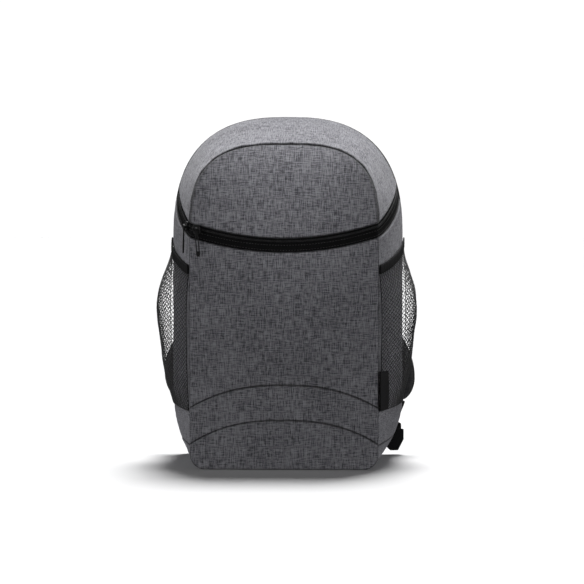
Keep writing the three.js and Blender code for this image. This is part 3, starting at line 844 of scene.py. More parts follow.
class Wardrobe:
    """Every finish of the bag, made once."""

    def __init__(self) -> None:
        """Makes each finish."""
        self.cloth = Melange("melange_cloth", (0.10, 0.099, 0.115), (0.475, 0.472, 0.515)).make()
        self.back = Melange(
            "back_cloth", (0.03, 0.03, 0.032), (0.085, 0.085, 0.09), pitch=0.0011, contrast=0.8
        ).make()
        self.net = Yarn("net_yarn", (0.012, 0.012, 0.013), (0.05, 0.05, 0.053), 0.0006).make()
        self.thread = Yarn("sewing_thread", (0.02, 0.02, 0.021), (0.07, 0.07, 0.073), 0.0004).make()
        self.elastic = Ribbed(
            "elastic", (0.004, 0.004, 0.0045), (0.018, 0.018, 0.019), 0.0016, 0.0011, 0.0003, sheen=0.05
        ).make()
        self.tape = Ribbed(
            "zip_tape", (0.003, 0.003, 0.0033), (0.011, 0.011, 0.012), 0.0007, 0.0009, 0.00015, sheen=0.0
        ).make()
        self.coil = Hard("zip_coil", (0.012, 0.012, 0.013), (0.05, 0.05, 0.052), 0.42, 0.0008).make()
        self.webbing = Ribbed(
            "webbing", (0.006, 0.006, 0.0065), (0.028, 0.028, 0.03), 0.0022, 0.0013, 0.00035, sheen=0.1
        ).make()
        self.metal = Hard(
            "black_enamel", (0.011, 0.011, 0.012), (0.04, 0.04, 0.042), 0.46, 0.0009, 0.15, 0.1
        ).make()
        self.plastic = Hard(
            "black_acetal", (0.012, 0.012, 0.013), (0.035, 0.035, 0.036), 0.42, 0.0005
        ).make()


# The bag's form


@dataclass(frozen=True)
class Outline:
    """An upright outline with round lower corners, straight sides and an arched top."""

    half: float
    corner_width: float
    corner_height: float
    spring: float
    top: float
    fullness: float

    def half_width(self, z: Points | float) -> Points:
        """Half the outline's width at a height."""
        z = np.asarray(z, float)
        below = np.clip(1 - z / self.corner_height, 0, 1)
        low = self.half - self.corner_width * (1 - np.sqrt(np.maximum(0, 1 - below**2)))
        share = np.clip((z - self.spring) / (self.top - self.spring), 0, 1)
        high = self.half * (1 - share**self.fullness) ** (1 / self.fullness)
        return np.where(z < self.corner_height, low, high)

    def arch(self, x: Points) -> Points:
        """The height of the arched top over a place across."""
        share = np.clip(np.abs(x) / self.half, 0, 1)
        return self.spring + (self.top - self.spring) * (1 - share**self.fullness) ** (1 / self.fullness)

    def line(self, samples: int = 160) -> Points:
        """The right half from the middle of the base round to the middle of the top, as N by 2."""
        angle = np.linspace(0, math.pi / 2, samples)
        low = np.stack(
            [
                self.half - self.corner_width * (1 - np.sin(angle)),
                self.corner_height * (1 - np.cos(angle)),
            ],
            axis=1,
        )
        power = 2 / self.fullness
        high = np.stack(
            [
                self.half * np.maximum(0, np.cos(angle)) ** power,
                self.spring + (self.top - self.spring) * np.sin(angle) ** power,
            ],
            axis=1,
        )
        return np.concatenate([[[0, 0]], low, high])

    def stretch(self, low: float, high: float, shares: Points) -> Points:
        """Places at shares of the outline's length between two heights.

        Args:
            low: The lower height.
            high: The upper height.
            shares: The wanted shares of the length between them.

        Returns:
            N by 2, across and up.
        """
        line = self.line()
        along = distances(line)
        first = np.interp(low, line[:, 1], along)
        last = np.interp(high, line[:, 1], along)
        at = blend(first, last, shares)
        return places_at(at, along, line)


@dataclass(frozen=True)
class BagForm:
    """The whole bag's outer form, as the CAD source has it."""

    depth: float = 0.160
    front: Outline = Outline(0.112, 0.018, 0.018, 0.280, 0.386, 3.0)
    back: Outline = Outline(0.142, 0.045, 0.075, 0.270, 0.420, 2.6)
    wall: float = 0.0042
    back_wall: float = 0.005
    gap: float = 0.00035
    face_bulge: float = 0.005
    lean_start: float = 0.274
    lean_back: float = 0.036
    lean_straight: float = 0.45
    lean_power: float = 2.5
    zip_low: float = 0.258
    zip_height: float = 0.017
    zip_smile: float = 0.018
    zip_rise: float = 0.046
    zip_climb: float = 1.3
    base_seam: float = 0.029
    inside: tuple[float, float, float] = (0.0, 0.0, 0.2075)

    @property
    def back_y(self) -> float:
        """Where the bag's back lies."""
        return self.depth / 2

    @property
    def gusset_back_y(self) -> float:
        """Where the gusset's cloth ends before the back panel."""
        return self.back_y - self.back_wall - self.gap

    @property
    def seam_share(self) -> float:
        """The share of the depth that the front panel's wall takes."""
        return (self.wall + self.gap) / self.depth

    @property
    def zip_corner(self) -> float:
        """The height of the zip band's lower edge at the front corners."""
        return self.zip_low + self.zip_smile

    def zip_edge(self, x: Points) -> Points:
        """The height of the zip band's lower edge across the front."""
        return self.zip_low + self.zip_smile * (x / self.front.half) ** 2

    def seam_depth(self, z: Points) -> Points:
        """Where the front seam lies at a height: upright below, leaning back over the lid."""
        share = np.clip((z - self.lean_start) / (self.front.top - self.lean_start), 0, 1.2)
        lean = self.lean_straight * share + (1 - self.lean_straight) * share**self.lean_power
        return -self.depth / 2 + self.lean_back * lean

    def face_depth(self, x: Points, z: Points) -> Points:
        """The front's outer face, which swells forward between its seams."""
        across = np.clip(np.abs(x) / np.maximum(self.front.half_width(z), 1e-6), 0, 1)
        up = np.clip(z / self.front.top, 0, 1)
        return self.seam_depth(z) - self.face_bulge * (1 - across**2) * np.sqrt(4 * up * (1 - up))

    def gusset(self, front: Points, back: Points, share: Points, sign: Points | float = 1.0) -> Points:
        """Places on the gusset between front and back outline places.

        Args:
            front: Places of the front outline, across and up.
            back: Matching places of the back outline.
            share: 0 at the front and 1 at the back.
            sign: 1 for the right half and -1 for the left one.

        Returns:
            The places.
        """
        turn = np.clip((share - self.seam_share) / (1 - self.seam_share), 0, 1)
        swollen = np.sin(math.pi / 2 * turn)
        lid = np.clip((front[..., 1] - self.zip_corner) / (self.front.top - self.zip_corner), 0, 1)
        climb = blend(turn**self.zip_climb, swollen, lid)
        return np.stack(
            [
                sign * blend(front[..., 0], back[..., 0], swollen),
                blend(self.seam_depth(front[..., 1]), self.back_y, share),
                blend(front[..., 1], back[..., 1], climb),
            ],
            axis=-1,
        )

    def side(self, front_z: Points, back_z: Points, share: Points, sign: float) -> Points:
        """Places on a side, from the heights of their front and back outline places."""
        front_z, back_z, share = np.broadcast_arrays(front_z, back_z, share)
        front = np.stack([self.front.half_width(front_z), front_z], axis=-1)
        back = np.stack([self.back.half_width(back_z), back_z], axis=-1)
        return self.gusset(front, back, share, sign)


FORM = BagForm()


@dataclass(frozen=True)
class SeamStyle:
    """How the cloth goes into a seam: how it rolls in, stands up in a lip beside it, puckers, and how much
    painted shade darkens its colour beside the seam.

    The lip's place and spread are counted in the roll's radius.
    """

    depth: float
    radius: float
    pucker: float = 0.0
    wavelength: float = 0.014
    reach: float = 0.012
    lip: float = 0.0
    shade: float = 1.0
    shade_reach: float = 0.0013


LIP_PLACE = 1.6
LIP_SPREAD = 1.4
PLAIN_SEAM = SeamStyle(depth=0.0022, radius=0.0036, pucker=0.0003)
TUCKED = SeamStyle(depth=0.0022, radius=0.0018, pucker=0.0002, reach=0.010)
FOLDED = SeamStyle(depth=0.0012, radius=0.0011, pucker=0.0001, lip=0.0007, reach=0.010, shade=0.75)
ZIP_EDGE = SeamStyle(depth=0.0016, radius=0.0020, pucker=0.0003, wavelength=0.018, lip=0.0004, reach=0.014)
CROWN_SEAM = SeamStyle(
    depth=0.0036, radius=0.0030, pucker=0.0005, wavelength=0.027, reach=0.022, shade_reach=0.0034
)
CROWN_FOLD = SeamStyle(
    depth=0.0026, radius=0.0022, pucker=0.0005, wavelength=0.031, lip=0.0006, reach=0.030, shade_reach=0.0026
)
HEM_SEAM = SeamStyle(depth=0.0014, radius=0.0016, pucker=0.0003)


@dataclass
class SoftPanel:
    """One padded cloth panel with a wall, seams that roll in, painted shade along those seams and slightly
    uneven faces.

    Its surface is a function of two shares, up and across, each from 0 to 1.
    """

    name: str
    surface: Surface
    width: float
    height: float
    low: SeamStyle
    high: SeamStyle
    left: SeamStyle
    right: SeamStyle
    step: float = 0.0032
    wave: float = 0.0006
    wave_length: float = 0.075
    calm_reach: float = 0.012
    wall: float = FORM.wall
    seed: float = 1.0
    fill: float = 0.6
    upright_weave: bool = False

    def grid(self) -> Points:
        """The bare surface, rows by columns by 3, with fine steps along its edges."""
        up = graded(self.height, self.step, SEAM_STEPS)
        across = graded(self.width, self.step, SEAM_STEPS)
        v, u = np.meshgrid(up, across, indexing="ij")
        return self.surface(v, u)

    def build(self, finish: bpy.types.Material, slot: Slot, *nodes: str) -> bpy.types.Object:
        """The finished panel.

        Args:
            finish: Its material.
            slot: The record's slot of that finish.
            nodes: The CAD nodes that it stands for, or none for its own name.

        Returns:
            The object.
        """
        base = self.grid()
        inside = np.array(FORM.inside)
        normal = grid_normals(base, inside)
        flat = base.reshape(-1, 3)
        lift = self.wave * swell(flat, self.wave_length, self.seed)
        seam = np.zeros(len(flat))
        calm = np.ones(len(flat))
        edges = [
            (self.low, base[0]),
            (self.high, base[-1]),
            (self.left, base[:, 0]),
            (self.right, base[:, -1]),
        ]
        for number, (style, line) in enumerate(edges):
            away, along = near_line(flat, line)
            inward = np.clip(1 - away / style.radius, 0, 1)
            roll = 1 - np.sqrt(np.maximum(0, 1 - inward**2))
            beyond = (away - LIP_PLACE * style.radius) / (LIP_SPREAD * style.radius)
            fold = style.lip * np.exp(-(beyond**2))
            pucker = style.pucker * ripple(along, style.wavelength, self.seed + number)
            lift = lift - style.depth * roll + fold + pucker * np.exp(-away / style.reach) * (1 - roll)
            # seam gathers the painted shade: how much the colour is darkened near each seam, standing in for
            # the shade in its recess.
            seam = np.maximum(seam, style.shade * np.exp(-((away / style.shade_reach) ** 2)))
            calm = np.minimum(calm, np.clip(away / self.calm_reach, 0, 1))
        lift = lift - self.wave * swell(flat, self.wave_length, self.seed) * (1 - calm)
        outer = flat + lift[:, None] * normal.reshape(-1, 3)
        weave = base[..., [0, 2]] if self.upright_weave else None
        piece = grid_piece(self.name, outer.reshape(base.shape), weave)
        shown = places_of(piece.data)
        tree_order = self._order(piece, outer, shown)
        set_values(piece.data, PAINTED_SHADE_ATTRIBUTE, seam[tree_order])
        inner = (flat - self.wall * normal.reshape(-1, 3))[tree_order]
        self._face_outwards(piece, normal.reshape(-1, 3)[tree_order])
        modified(piece, "SOLIDIFY", thickness=self.wall, offset=-1.0)
        walls = places_of(piece.data)
        count = len(tree_order)
        kept_first = np.abs(walls[:count] - shown).max() < 1e-5
        walls[count:] = inner if kept_first else shown
        walls[:count] = shown if kept_first else inner
        set_places(piece.data, walls)
        smooth(piece, 75)
        return handed_in(piece, finish, slot, nodes or (self.name,))

    @staticmethod
    def _order(piece: bpy.types.Object, outer: Points, shown: Points) -> Points:
        """Which place of the grid each vertex of the piece has."""
        order = np.lexsort(np.round(outer, 7).T)
        back = np.lexsort(np.round(shown, 7).T)
        found = np.empty(len(shown), int)
        found[back] = order
        return found

    @staticmethod
    def _face_outwards(piece: bpy.types.Object, normal: Points) -> None:
        """Turns the sheet's faces so that they look along the given normals."""
        face = piece.data.polygons[len(piece.data.polygons) // 2]
        if face.normal.dot(Vector(normal[face.vertices[0]])) < 0:
            piece.data.flip_normals()


@dataclass
class Cloth:
    """The bag's cloth body: the front, the lid, the sides, the base and the back."""

    finish: Wardrobe
    form: BagForm = FORM
    upper_arc: tuple[float, float, float] = (0.101, 0.028, 2.4)
    lower_arc: tuple[float, float, float] = (0.059, 0.029, 2.5)

    def arc(self, arc: tuple[float, float, float], shift: float) -> Curve:
        """The height of a curved seam across the front, moved up by a small shift."""
        middle, drop, power = arc
        return lambda x: middle - drop * (np.abs(x) / self.form.front.half) ** power + shift

    def face(
        self, edge: Curve, low: Curve, high: Curve
    ) -> Surface:
        """The surface of a front panel between two curves.

        Args:
            edge: The side edge's places, across and up, by the share up.
            low: The lower curve's height by the place across.
            high: The upper curve's height by the place across.

        Returns:
            The surface by its two shares.
        """
        ends = edge(np.array([0.0, 1.0]))[:, 0]

        def surface(v: Points, u: Points) -> Points:
            """Places by the shares up and across."""
            side = edge(v)
            reach = 2 * u - 1
            low_bend = low(reach * ends[0]) - low(ends[0])
            high_bend = high(reach * ends[1]) - high(ends[1])
            bend = (1 - v) * low_bend + v * high_bend
            x = side[..., 0] * reach
            z = side[..., 1] + bend
            return np.stack([x, self.form.face_depth(x, z), z], axis=-1)

        return surface

    def upright(self, low: float, high: float) -> Curve:
        """The straight side edge between two heights."""
        half = self.form.front.half
        return lambda v: np.stack([np.full_like(v, half), blend(low, high, v)], axis=-1)

    def fronts(self) -> list[bpy.types.Object]:
        """The toe, the band and the tall panel of the front, and the lid's brow."""
        form, half, gap = self.form, self.form.front.half, self.form.gap / 2
        low_under, low_over = self.arc(self.lower_arc, -gap), self.arc(self.lower_arc, gap)
        high_under, high_over = self.arc(self.upper_arc, -gap), self.arc(self.upper_arc, gap)

        def corner(v: Points) -> Points:
            """The toe's side edge: round the lower corner and straight up."""
            line = form.front.line()
            line = line[line[:, 1] <= form.front.corner_height + 1e-9][1:]
            line = np.concatenate([line, [[half, float(low_under(half))]]])
            along = distances(line)
            at = v * along[-1]
            return places_at(at, along, line)

        foot = form.zip_corner + form.zip_height
        flat = half / 2

        def brow_edge(v: Points) -> Points:
            """The brow's side edge, up its arch as far as half the width."""
            return form.front.stretch(foot, float(form.front.arch(flat)), v)

        side = PLAIN_SEAM
        panels = [
            SoftPanel(
                "front_toe",
                self.face(corner, lambda x: np.zeros_like(x), low_under),
                0.224, 0.050, PLAIN_SEAM, FOLDED, side, side, seed=1.0, wave=0.0004, upright_weave=True,
            ),
            SoftPanel(
                "front_band",
                self.face(self.upright(float(low_over(half)), float(high_under(half))), low_over, high_under),
                0.224, 0.043, TUCKED, FOLDED, side, side, seed=2.0, wave=0.0004, upright_weave=True,
            ),
            SoftPanel(
                "front_panel",
                self.face(self.upright(float(high_over(half)), form.zip_corner), high_over, form.zip_edge),
                0.224, 0.185, TUCKED, ZIP_EDGE, side, side, seed=3.0, wave=0.0010, wave_length=0.11,
                upright_weave=True,
            ),
            SoftPanel(
                "brow_panel",
                self.face(brow_edge, lambda x: form.zip_edge(x) + form.zip_height, form.front.arch),
                0.200, 0.112, ZIP_EDGE, CROWN_SEAM, CROWN_SEAM, CROWN_SEAM, seed=4.0, wave=0.0008,
                upright_weave=True,
            ),
        ]
        return [panel.build(self.finish.cloth, Slot.CLOTH) for panel in panels]

    def gusset_surface(
        self, front: Curve, back: Curve, sign: Curve
    ) -> Surface:
        """The surface of a gusset panel through matching outlines.

        Args:
            front: The front outline's places by the share up.
            back: The back outline's places by the share up.
            sign: The side of the bag by the share up.

        Returns:
            The surface by its two shares, across being from the front to the back.
        """

        def surface(v: Points, u: Points) -> Points:
            """Places by the shares up and across."""
            ahead, behind = front(v), back(v)
            seam = self.form.seam_depth(ahead[..., 1])
            span = self.form.back_y - seam
            first = (self.form.wall + self.form.gap) / span
            last = (self.form.gusset_back_y - seam) / span
            return self.form.gusset(ahead, behind, blend(first, last, u), sign(v))

        return surface

    def gussets(self) -> list[bpy.types.Object]:
        """The crown over the top, the two sides and the base that wraps up both sides."""
        form, gap = self.form, self.form.gap / 2
        zip_top = form.zip_corner + form.zip_height

        def folded(v: Points) -> Points:
            """A share along half of a panel that runs up one side and down the other."""
            return 1 - np.abs(2 * v - 1)

        def sign(v: Points) -> Points:
            """Right for the first half of such a panel and left for the second."""
            return np.where(v <= 0.5, 1.0, -1.0)

        crown = self.gusset_surface(
            lambda v: form.front.stretch(zip_top, form.front.top, folded(v)),
            lambda v: form.back.stretch(zip_top + form.zip_rise, form.back.top, folded(v)),
            sign,
        )
        seam = form.base_seam

        built = [
            SoftPanel(
                "crown_panel", crown, 0.140, 0.430, ZIP_EDGE, ZIP_EDGE, CROWN_FOLD, PLAIN_SEAM,
                seed=5.0, wave=0.0011, wave_length=0.06,
            )
        ]
        for place in Side:
            side = self.gusset_surface(
                lambda v: form.front.stretch(seam + gap, form.zip_corner, v),
                lambda v: form.back.stretch(seam + gap, form.zip_corner + form.zip_rise, v),
                lambda v, hand=place.value: np.full_like(v, hand),
            )
            built.append(
                SoftPanel(
                    f"side_panel_{place.name.lower()}", side, 0.155, 0.270, HEM_SEAM, ZIP_EDGE,
                    PLAIN_SEAM, PLAIN_SEAM, seed=6.0 + place.value, wave=0.0008,
                )
            )
        base = self.gusset_surface(
            lambda v: base_half(form.front, seam - gap, folded(v)),
            lambda v: base_half(form.back, seam - gap, folded(v)),
            sign,
        )
        built.append(
            SoftPanel(
                "base_panel", base, 0.155, 0.330, HEM_SEAM, HEM_SEAM, PLAIN_SEAM, PLAIN_SEAM,
                seed=9.0, wave=0.0,
            )
        )
        return [panel.build(self.finish.cloth, Slot.CLOTH) for panel in built]

    def back(self) -> bpy.types.Object:
        """The plain padded back panel."""
        form, outline = self.form, self.form.back

        def edge(v: Points) -> Points:
            """The back's side edge, up to where its arch is half the width."""
            line = outline.line()
            line = line[1:]
            along = distances(line)
            last = np.interp(float(outline.arch(outline.half / 2)), line[:, 1], along)
            return places_at(v * last, along, line)

        ends = edge(np.array([0.0, 1.0]))[:, 0]

        def surface(v: Points, u: Points) -> Points:
            """Places by the shares up and across."""
            side = edge(v)
            reach = 2 * u - 1
            bend = v * (outline.arch(reach * ends[1]) - outline.arch(ends[1]))
            x = -side[..., 0] * reach
            return np.stack([x, np.full_like(x, form.back_y - 0.0004), side[..., 1] + bend], axis=-1)

        panel = SoftPanel(
            "back_panel", surface, 0.280, 0.420, PLAIN_SEAM, PLAIN_SEAM, PLAIN_SEAM, PLAIN_SEAM,
            seed=10.0, wave=0.0003, wall=form.back_wall - 0.0004, step=0.005, upright_weave=True,
        )
        return panel.build(self.finish.back, Slot.BACK)


def base_half(outline: Outline, top: float, share: Points) -> Points:
    """The base's half of an outline: from the base seam round the corner and in to the middle.

    Args:
        outline: The outline.
        top: The height of the base seam.
        share: 0 at the base seam and 1 at the middle of the base.

    Returns:
        Places across and up.
    """
    line = outline.line()
    along = distances(line)
    curve_start = along[np.searchsorted(line[:, 0], outline.half - outline.corner_width - 1e-9)]
    last = np.interp(top, line[:, 1], along)
    turn = 5 / 9
    at = np.where(
        share < turn, blend(last, curve_start, share / turn), curve_start * (1 - (share - turn) / (1 - turn))
    )
    return places_at(at, along, line)


@dataclass
class Pocket:
    """One net side pocket with its elastic mouth."""

    side: Side
    finish: Wardrobe
    hem: float = 0.069
    mouth: float = 0.243
    rise: float = 0.031
    bulge: float = 0.021
    mouth_gap: float = 0.0008
    skin_gap: float = 0.0005
    inset: float = 0.03
    spread_power: float = 0.85
    fullest: float = 1.35
    binding: float = 0.011
    binding_thick: float = 0.0018
    edge_power: float = 0.35
    face_power: float = 0.8
    gather: float = 0.00025
    gather_length: float = 0.0075
    net_thick: float = 0.0012
    cell_across: float = 0.0084
    cell_up: float = 0.0055
    strand: float = 0.00092

    def profile(self, height: Points) -> Points:
        """The share of its bulge that the net has at a height share, smooth through a few values."""
        places = np.array([0, 0.22, 0.45, 0.66, 0.8, 1.0])
        values = np.array([0, 0.56, 0.82, 1.0, 0.82, 0])
        slopes = np.gradient(values, places)
        slopes[0] = (values[1] - values[0]) / places[1]
        slopes[-1] = (values[-1] - values[-2]) / (places[-1] - places[-2])
        i = np.clip(np.searchsorted(places, height, side="right") - 1, 0, len(places) - 2)
        span = places[i + 1] - places[i]
        s = (height - places[i]) / span
        return (
            (2 * s**3 - 3 * s**2 + 1) * values[i]
            + (s**3 - 2 * s**2 + s) * slopes[i] * span
            + (3 * s**2 - 2 * s**3) * values[i + 1]
            + (s**3 - s**2) * slopes[i + 1] * span
        )

    def place(self, height: Points, across: Points, extra: Points | float = 0.0) -> Points:
        """Places on the pocket.

        Args:
            height: 0 at the hem and 1 below the binding.
            across: 0 at the front seam and 1 at the back one.
            extra: How far further out.

        Returns:
            The places.
        """
        share = blend(self.inset, 1 - self.inset - FORM.back_wall / FORM.depth, across)
        full = np.clip(across, 0, 1) ** self.fullest
        top = self.mouth - self.binding - FORM.gap
        front_z = blend(self.hem, top, height)
        back_z = blend(self.hem, top + self.rise, height)
        sign = self.side.value
        here = FORM.side(front_z, back_z, share, sign)
        ahead = FORM.side(front_z, back_z, share + 0.01, sign)
        along = ahead - FORM.side(front_z, back_z, share - 0.01, sign)
        normal = unit(
            np.stack([sign * np.abs(along[..., 1]), -np.abs(along[..., 0]), np.zeros_like(share)], axis=-1)
        )
        spread = np.maximum(0, np.sin(math.pi * blend(self.inset, 1 - self.inset, full))) ** self.spread_power
        hug = np.maximum(0, np.sin(math.pi * share))
        belly = self.bulge * self.profile(height) * spread
        out = self.skin_gap + belly + self.mouth_gap * height**3 * hug + extra
        return here + out[..., None] * normal

    def net(self) -> bpy.types.Object:
        """The knitted net as real strands round diamond holes."""
        label = self.side.name.lower()
        middle = self.place(np.full(60, 0.6), np.linspace(0, 1, 60))
        width = np.linalg.norm(np.diff(middle, axis=0), axis=1).sum()
        height = self.mouth + self.rise / 2 - self.binding - self.hem + 0.006
        columns, rows = round(width / self.cell_across), round(height / self.cell_up)
        bpy.ops.mesh.primitive_grid_add(x_subdivisions=columns, y_subdivisions=rows, size=1)
        piece = bpy.context.active_object
        piece.name = f"pocket_net_{label}"
        with editing(piece):
            bpy.ops.mesh.poke()
        with editing(piece, Pick.EDGE, self._grid_edges(piece)):
            bpy.ops.mesh.dissolve_edges(use_verts=False)
        flat = places_of(piece.data)
        u, v = flat[:, 0] + 0.5, flat[:, 1] + 0.5
        sag = 0.0006 * swell(np.stack([u, v, u * v], axis=1), 0.21, 2.0 + self.side.value)
        calm = np.clip(8 * np.minimum(np.minimum(u, 1 - u), np.minimum(v, 1 - v)), 0, 1)
        set_places(piece.data, self.place(v, u, self.net_thick / 2 + sag * calm))
        piece.data.uv_layers[0].name = WEAVE
        modified(piece, "WIREFRAME", thickness=self.strand, use_even_offset=True, use_relative_offset=False)
        return smooth(piece, 180)

    @staticmethod
    def _grid_edges(piece: bpy.types.Object) -> list[int]:
        """The flat grid's own edges inside its rim, without the slanting ones that poking adds."""
        flat = places_of(piece.data)
        found = []
        for edge in piece.data.edges:
            a, b = (flat[corner] for corner in edge.vertices)
            straight = min(abs(a[0] - b[0]), abs(a[1] - b[1])) < 1e-6
            middle = (a + b) / 2
            if straight and max(abs(middle[0]), abs(middle[1])) < 0.5 - 1e-6:
                found.append(edge.index)
        return found

    def mouth_band(self) -> bpy.types.Object:
        """The elastic binding along the mouth, gathered a little and rounded along its fold."""
        across = np.linspace(0, 1, 150)
        turn = np.linspace(0, 2 * math.pi, 29)[:-1]
        half_high, half_thick = self.binding / 2, self.binding_thick / 2
        up = half_high * squarer(np.cos(turn), self.edge_power)
        out = half_thick * squarer(np.sin(turn), self.face_power)
        base = self.place(np.ones_like(across), across, half_thick)
        outward = unit(self.place(np.ones_like(across), across, 0.01) - base)
        gather = self.gather * ripple(across * 0.18, self.gather_length, 1.0 + self.side.value)
        lift = FORM.gap + half_high
        rings = (
            base[:, None]
            + outward[:, None] * (out[None, :, None] + gather[:, None, None])
            + np.array([0, 0, 1.0])[None, None] * (lift + up[None, :, None])
        )
        piece = tube_piece(f"pocket_binding_{self.side.name.lower()}", rings)
        return smooth(piece, 60)

    def build(self) -> None:
        """The net and its binding."""
        label = self.side.name.lower()
        net = self.net()
        band = handed_in(self.mouth_band(), self.finish.elastic, Slot.ELASTIC, [f"pocket_binding_{label}"])
        handed_in(net, self.finish.net, Slot.NET, [f"pocket_net_{label}"])
        v, u = np.meshgrid(np.linspace(0, 1, 40), np.linspace(0, 1, 40), indexing="ij")
        grid = self.place(v, u)


@dataclass
class ZipBand:
    """The zip round the front and both sides: two tapes, a nylon coil and its stitching."""

    finish: Wardrobe
    form: BagForm = FORM
    lower: tuple[float, float] = (0.00035, 0.0121)
    coil: tuple[float, float] = (0.01195, 0.01425)
    upper: tuple[float, float] = (0.0141, 0.0163)
    recess: float = 0.0008
    thick: float = 0.0020
    coil_proud: float = 0.0007
    tooth_pitch: float = 0.0016
    tooth_radius: float = 0.00058
    tooth_depth: float = 0.00135
    tooth_bevel: float = 0.00018
    tooth_stretch: float = 1.35
    tooth_sink: float = 0.0003
    stitch_pitch: float = 0.0034
    stitch_share: float = 0.36
    stitch_proud: float = 0.0001
    stitch_heights: tuple[float, float] = (0.00255, 0.0085)
    thread_radius: float = 0.0003
    round_corner: float = 0.009
    step: float = 0.0016

    def line(self, height: float, out: float) -> Points:
        """A line along the zip, from the back on the left round the front to the back on the right.

        Args:
            height: Its height above the band's lower edge.
            out: How far it stands out of the band's face.

        Returns:
            N by 3, with the same number of places whatever the height.
        """
        form = self.form
        last = (form.gusset_back_y + form.depth / 2) / form.depth
        shares = np.linspace(form.seam_share, last, 110)
        flank = [
            form.side(form.zip_corner + height, form.zip_corner + form.zip_rise + height, shares, sign)
            for sign in (-1, 1)
        ]
        reach = form.front.half
        x = np.linspace(-reach, reach, 150)
        z = form.zip_edge(x) + height
        face = np.stack([x, form.face_depth(x, z), z], axis=-1)
        raw = np.concatenate([flank[0][::-1], face, flank[1]])
        along = distances(raw)
        even = np.linspace(0, along[-1], 700)
        line = places_at(even, along, raw)
        width = max(1, round(self.round_corner / (even[1] - even[0])))
        kernel = np.hanning(2 * width + 3)[1:-1]
        padded = np.concatenate([np.repeat(line[:1], width, 0), line, np.repeat(line[-1:], width, 0)])
        kernel = kernel / kernel.sum()
        soft = np.stack([np.convolve(padded[:, k], kernel, "valid") for k in range(3)], axis=-1)
        soft[:width], soft[-width:] = line[:width], line[-width:]
        tangent = np.gradient(soft, axis=0)
        normal = unit(np.stack([tangent[:, 1], -tangent[:, 0], np.zeros(len(soft))], axis=-1))
        return soft + (out - self.recess) * normal

    def strip(self, name: str, low: float, high: float, proud: float, node: str | None) -> bpy.types.Object:
        """One flat strip of the band with a wall.

        Args:
            name: The piece's name.
            low: Its lower height.
            high: Its upper height.
            proud: How far its face stands out.
            node: The CAD node that it stands for.

        Returns:
            The object.
        """
        rows = [self.line(height, proud) for height in np.linspace(low, high, 5)]
        outer = np.stack(rows)
        inner = np.stack([self.line(h, proud - self.thick) for h in (high, low)])
        rings = np.concatenate([outer, inner]).transpose(1, 0, 2)
        piece = tube_piece(name, rings[::2])
        smooth(piece, 35)
        return handed_in(piece, self.finish.tape, Slot.ZIP, [node] if node else ())

    def frames(self, height: float, out: float, pitch: float, shift: float = 0.0) -> Points:
        """Frames spaced along the zip: X along it, Y upwards and Z outwards.

        Args:
            height: The line's height above the band's lower edge.
            out: How far it stands out.
            pitch: The distance between frames.
            shift: How far the first one is moved, as a share of the pitch.

        Returns:
            N by 4 by 3.
        """
        line = self.line(height, out)
        along = distances(line)
        at = np.arange(pitch * (0.6 + shift), along[-1] - pitch * 0.5, pitch)
        place = places_at(at, along, line)
        ahead = places_at(at + 0.001, along, line)
        behind = places_at(at - 0.001, along, line)
        x = unit(ahead - behind)
        z = unit(np.stack([x[:, 1], -x[:, 0], np.zeros(len(x))], axis=-1))
        y = np.cross(z, x)
        return np.stack([x, y, z, place], axis=1)

    def tooth(self) -> bpy.types.Object:
        """One turn of the coil, in its own frame: a short rounded bar."""
        bpy.ops.mesh.primitive_cylinder_add(
            vertices=6, radius=self.tooth_radius, depth=self.tooth_depth, rotation=UPRIGHT
        )
        piece = settled(bpy.context.active_object)
        with editing(piece):
            bpy.ops.mesh.bevel(offset=self.tooth_bevel, segments=1, affect="EDGES")
            bpy.ops.transform.resize(value=(1.0, 1.0, self.tooth_stretch))
        return piece

    def stitch(self) -> bpy.types.Object:
        """One stitch of thread, in its own frame."""
        bpy.ops.mesh.primitive_uv_sphere_add(segments=6, ring_count=4, radius=1)
        piece = bpy.context.active_object
        piece.scale = (self.stitch_pitch * self.stitch_share, self.thread_radius, self.thread_radius)
        return settled(piece)

    def build(self) -> None:
        """The tapes, the coil's two rows of turns and the stitching."""
        self.strip("zip_tape_lower", *self.lower, 0.0, "zip_tape_lower")
        self.strip("zip_tape_upper", *self.upper, 0.0, "zip_tape_upper")
        core = self.strip("zip_coil", *self.coil, self.coil_proud - 0.0006, "zip_coil")
        middle = sum(self.coil) / 2
        proud = self.coil_proud - self.tooth_sink
        rows = [
            self.frames(middle + side * self.tooth_radius, proud, self.tooth_pitch, 0.25 * (1 + side))
            for side in (-1, 1)
        ]
        teeth = repeated("zip_coil_turns", self.tooth(), np.concatenate(rows))
        handed_in(teeth, self.finish.coil, Slot.ZIP)
        core.data.materials[0] = self.finish.coil
        rows = [self.frames(height, self.stitch_proud, self.stitch_pitch) for height in self.stitch_heights]
        handed_in(repeated("zip_stitches", self.stitch(), np.concatenate(rows)), self.finish.thread, Slot.ZIP)


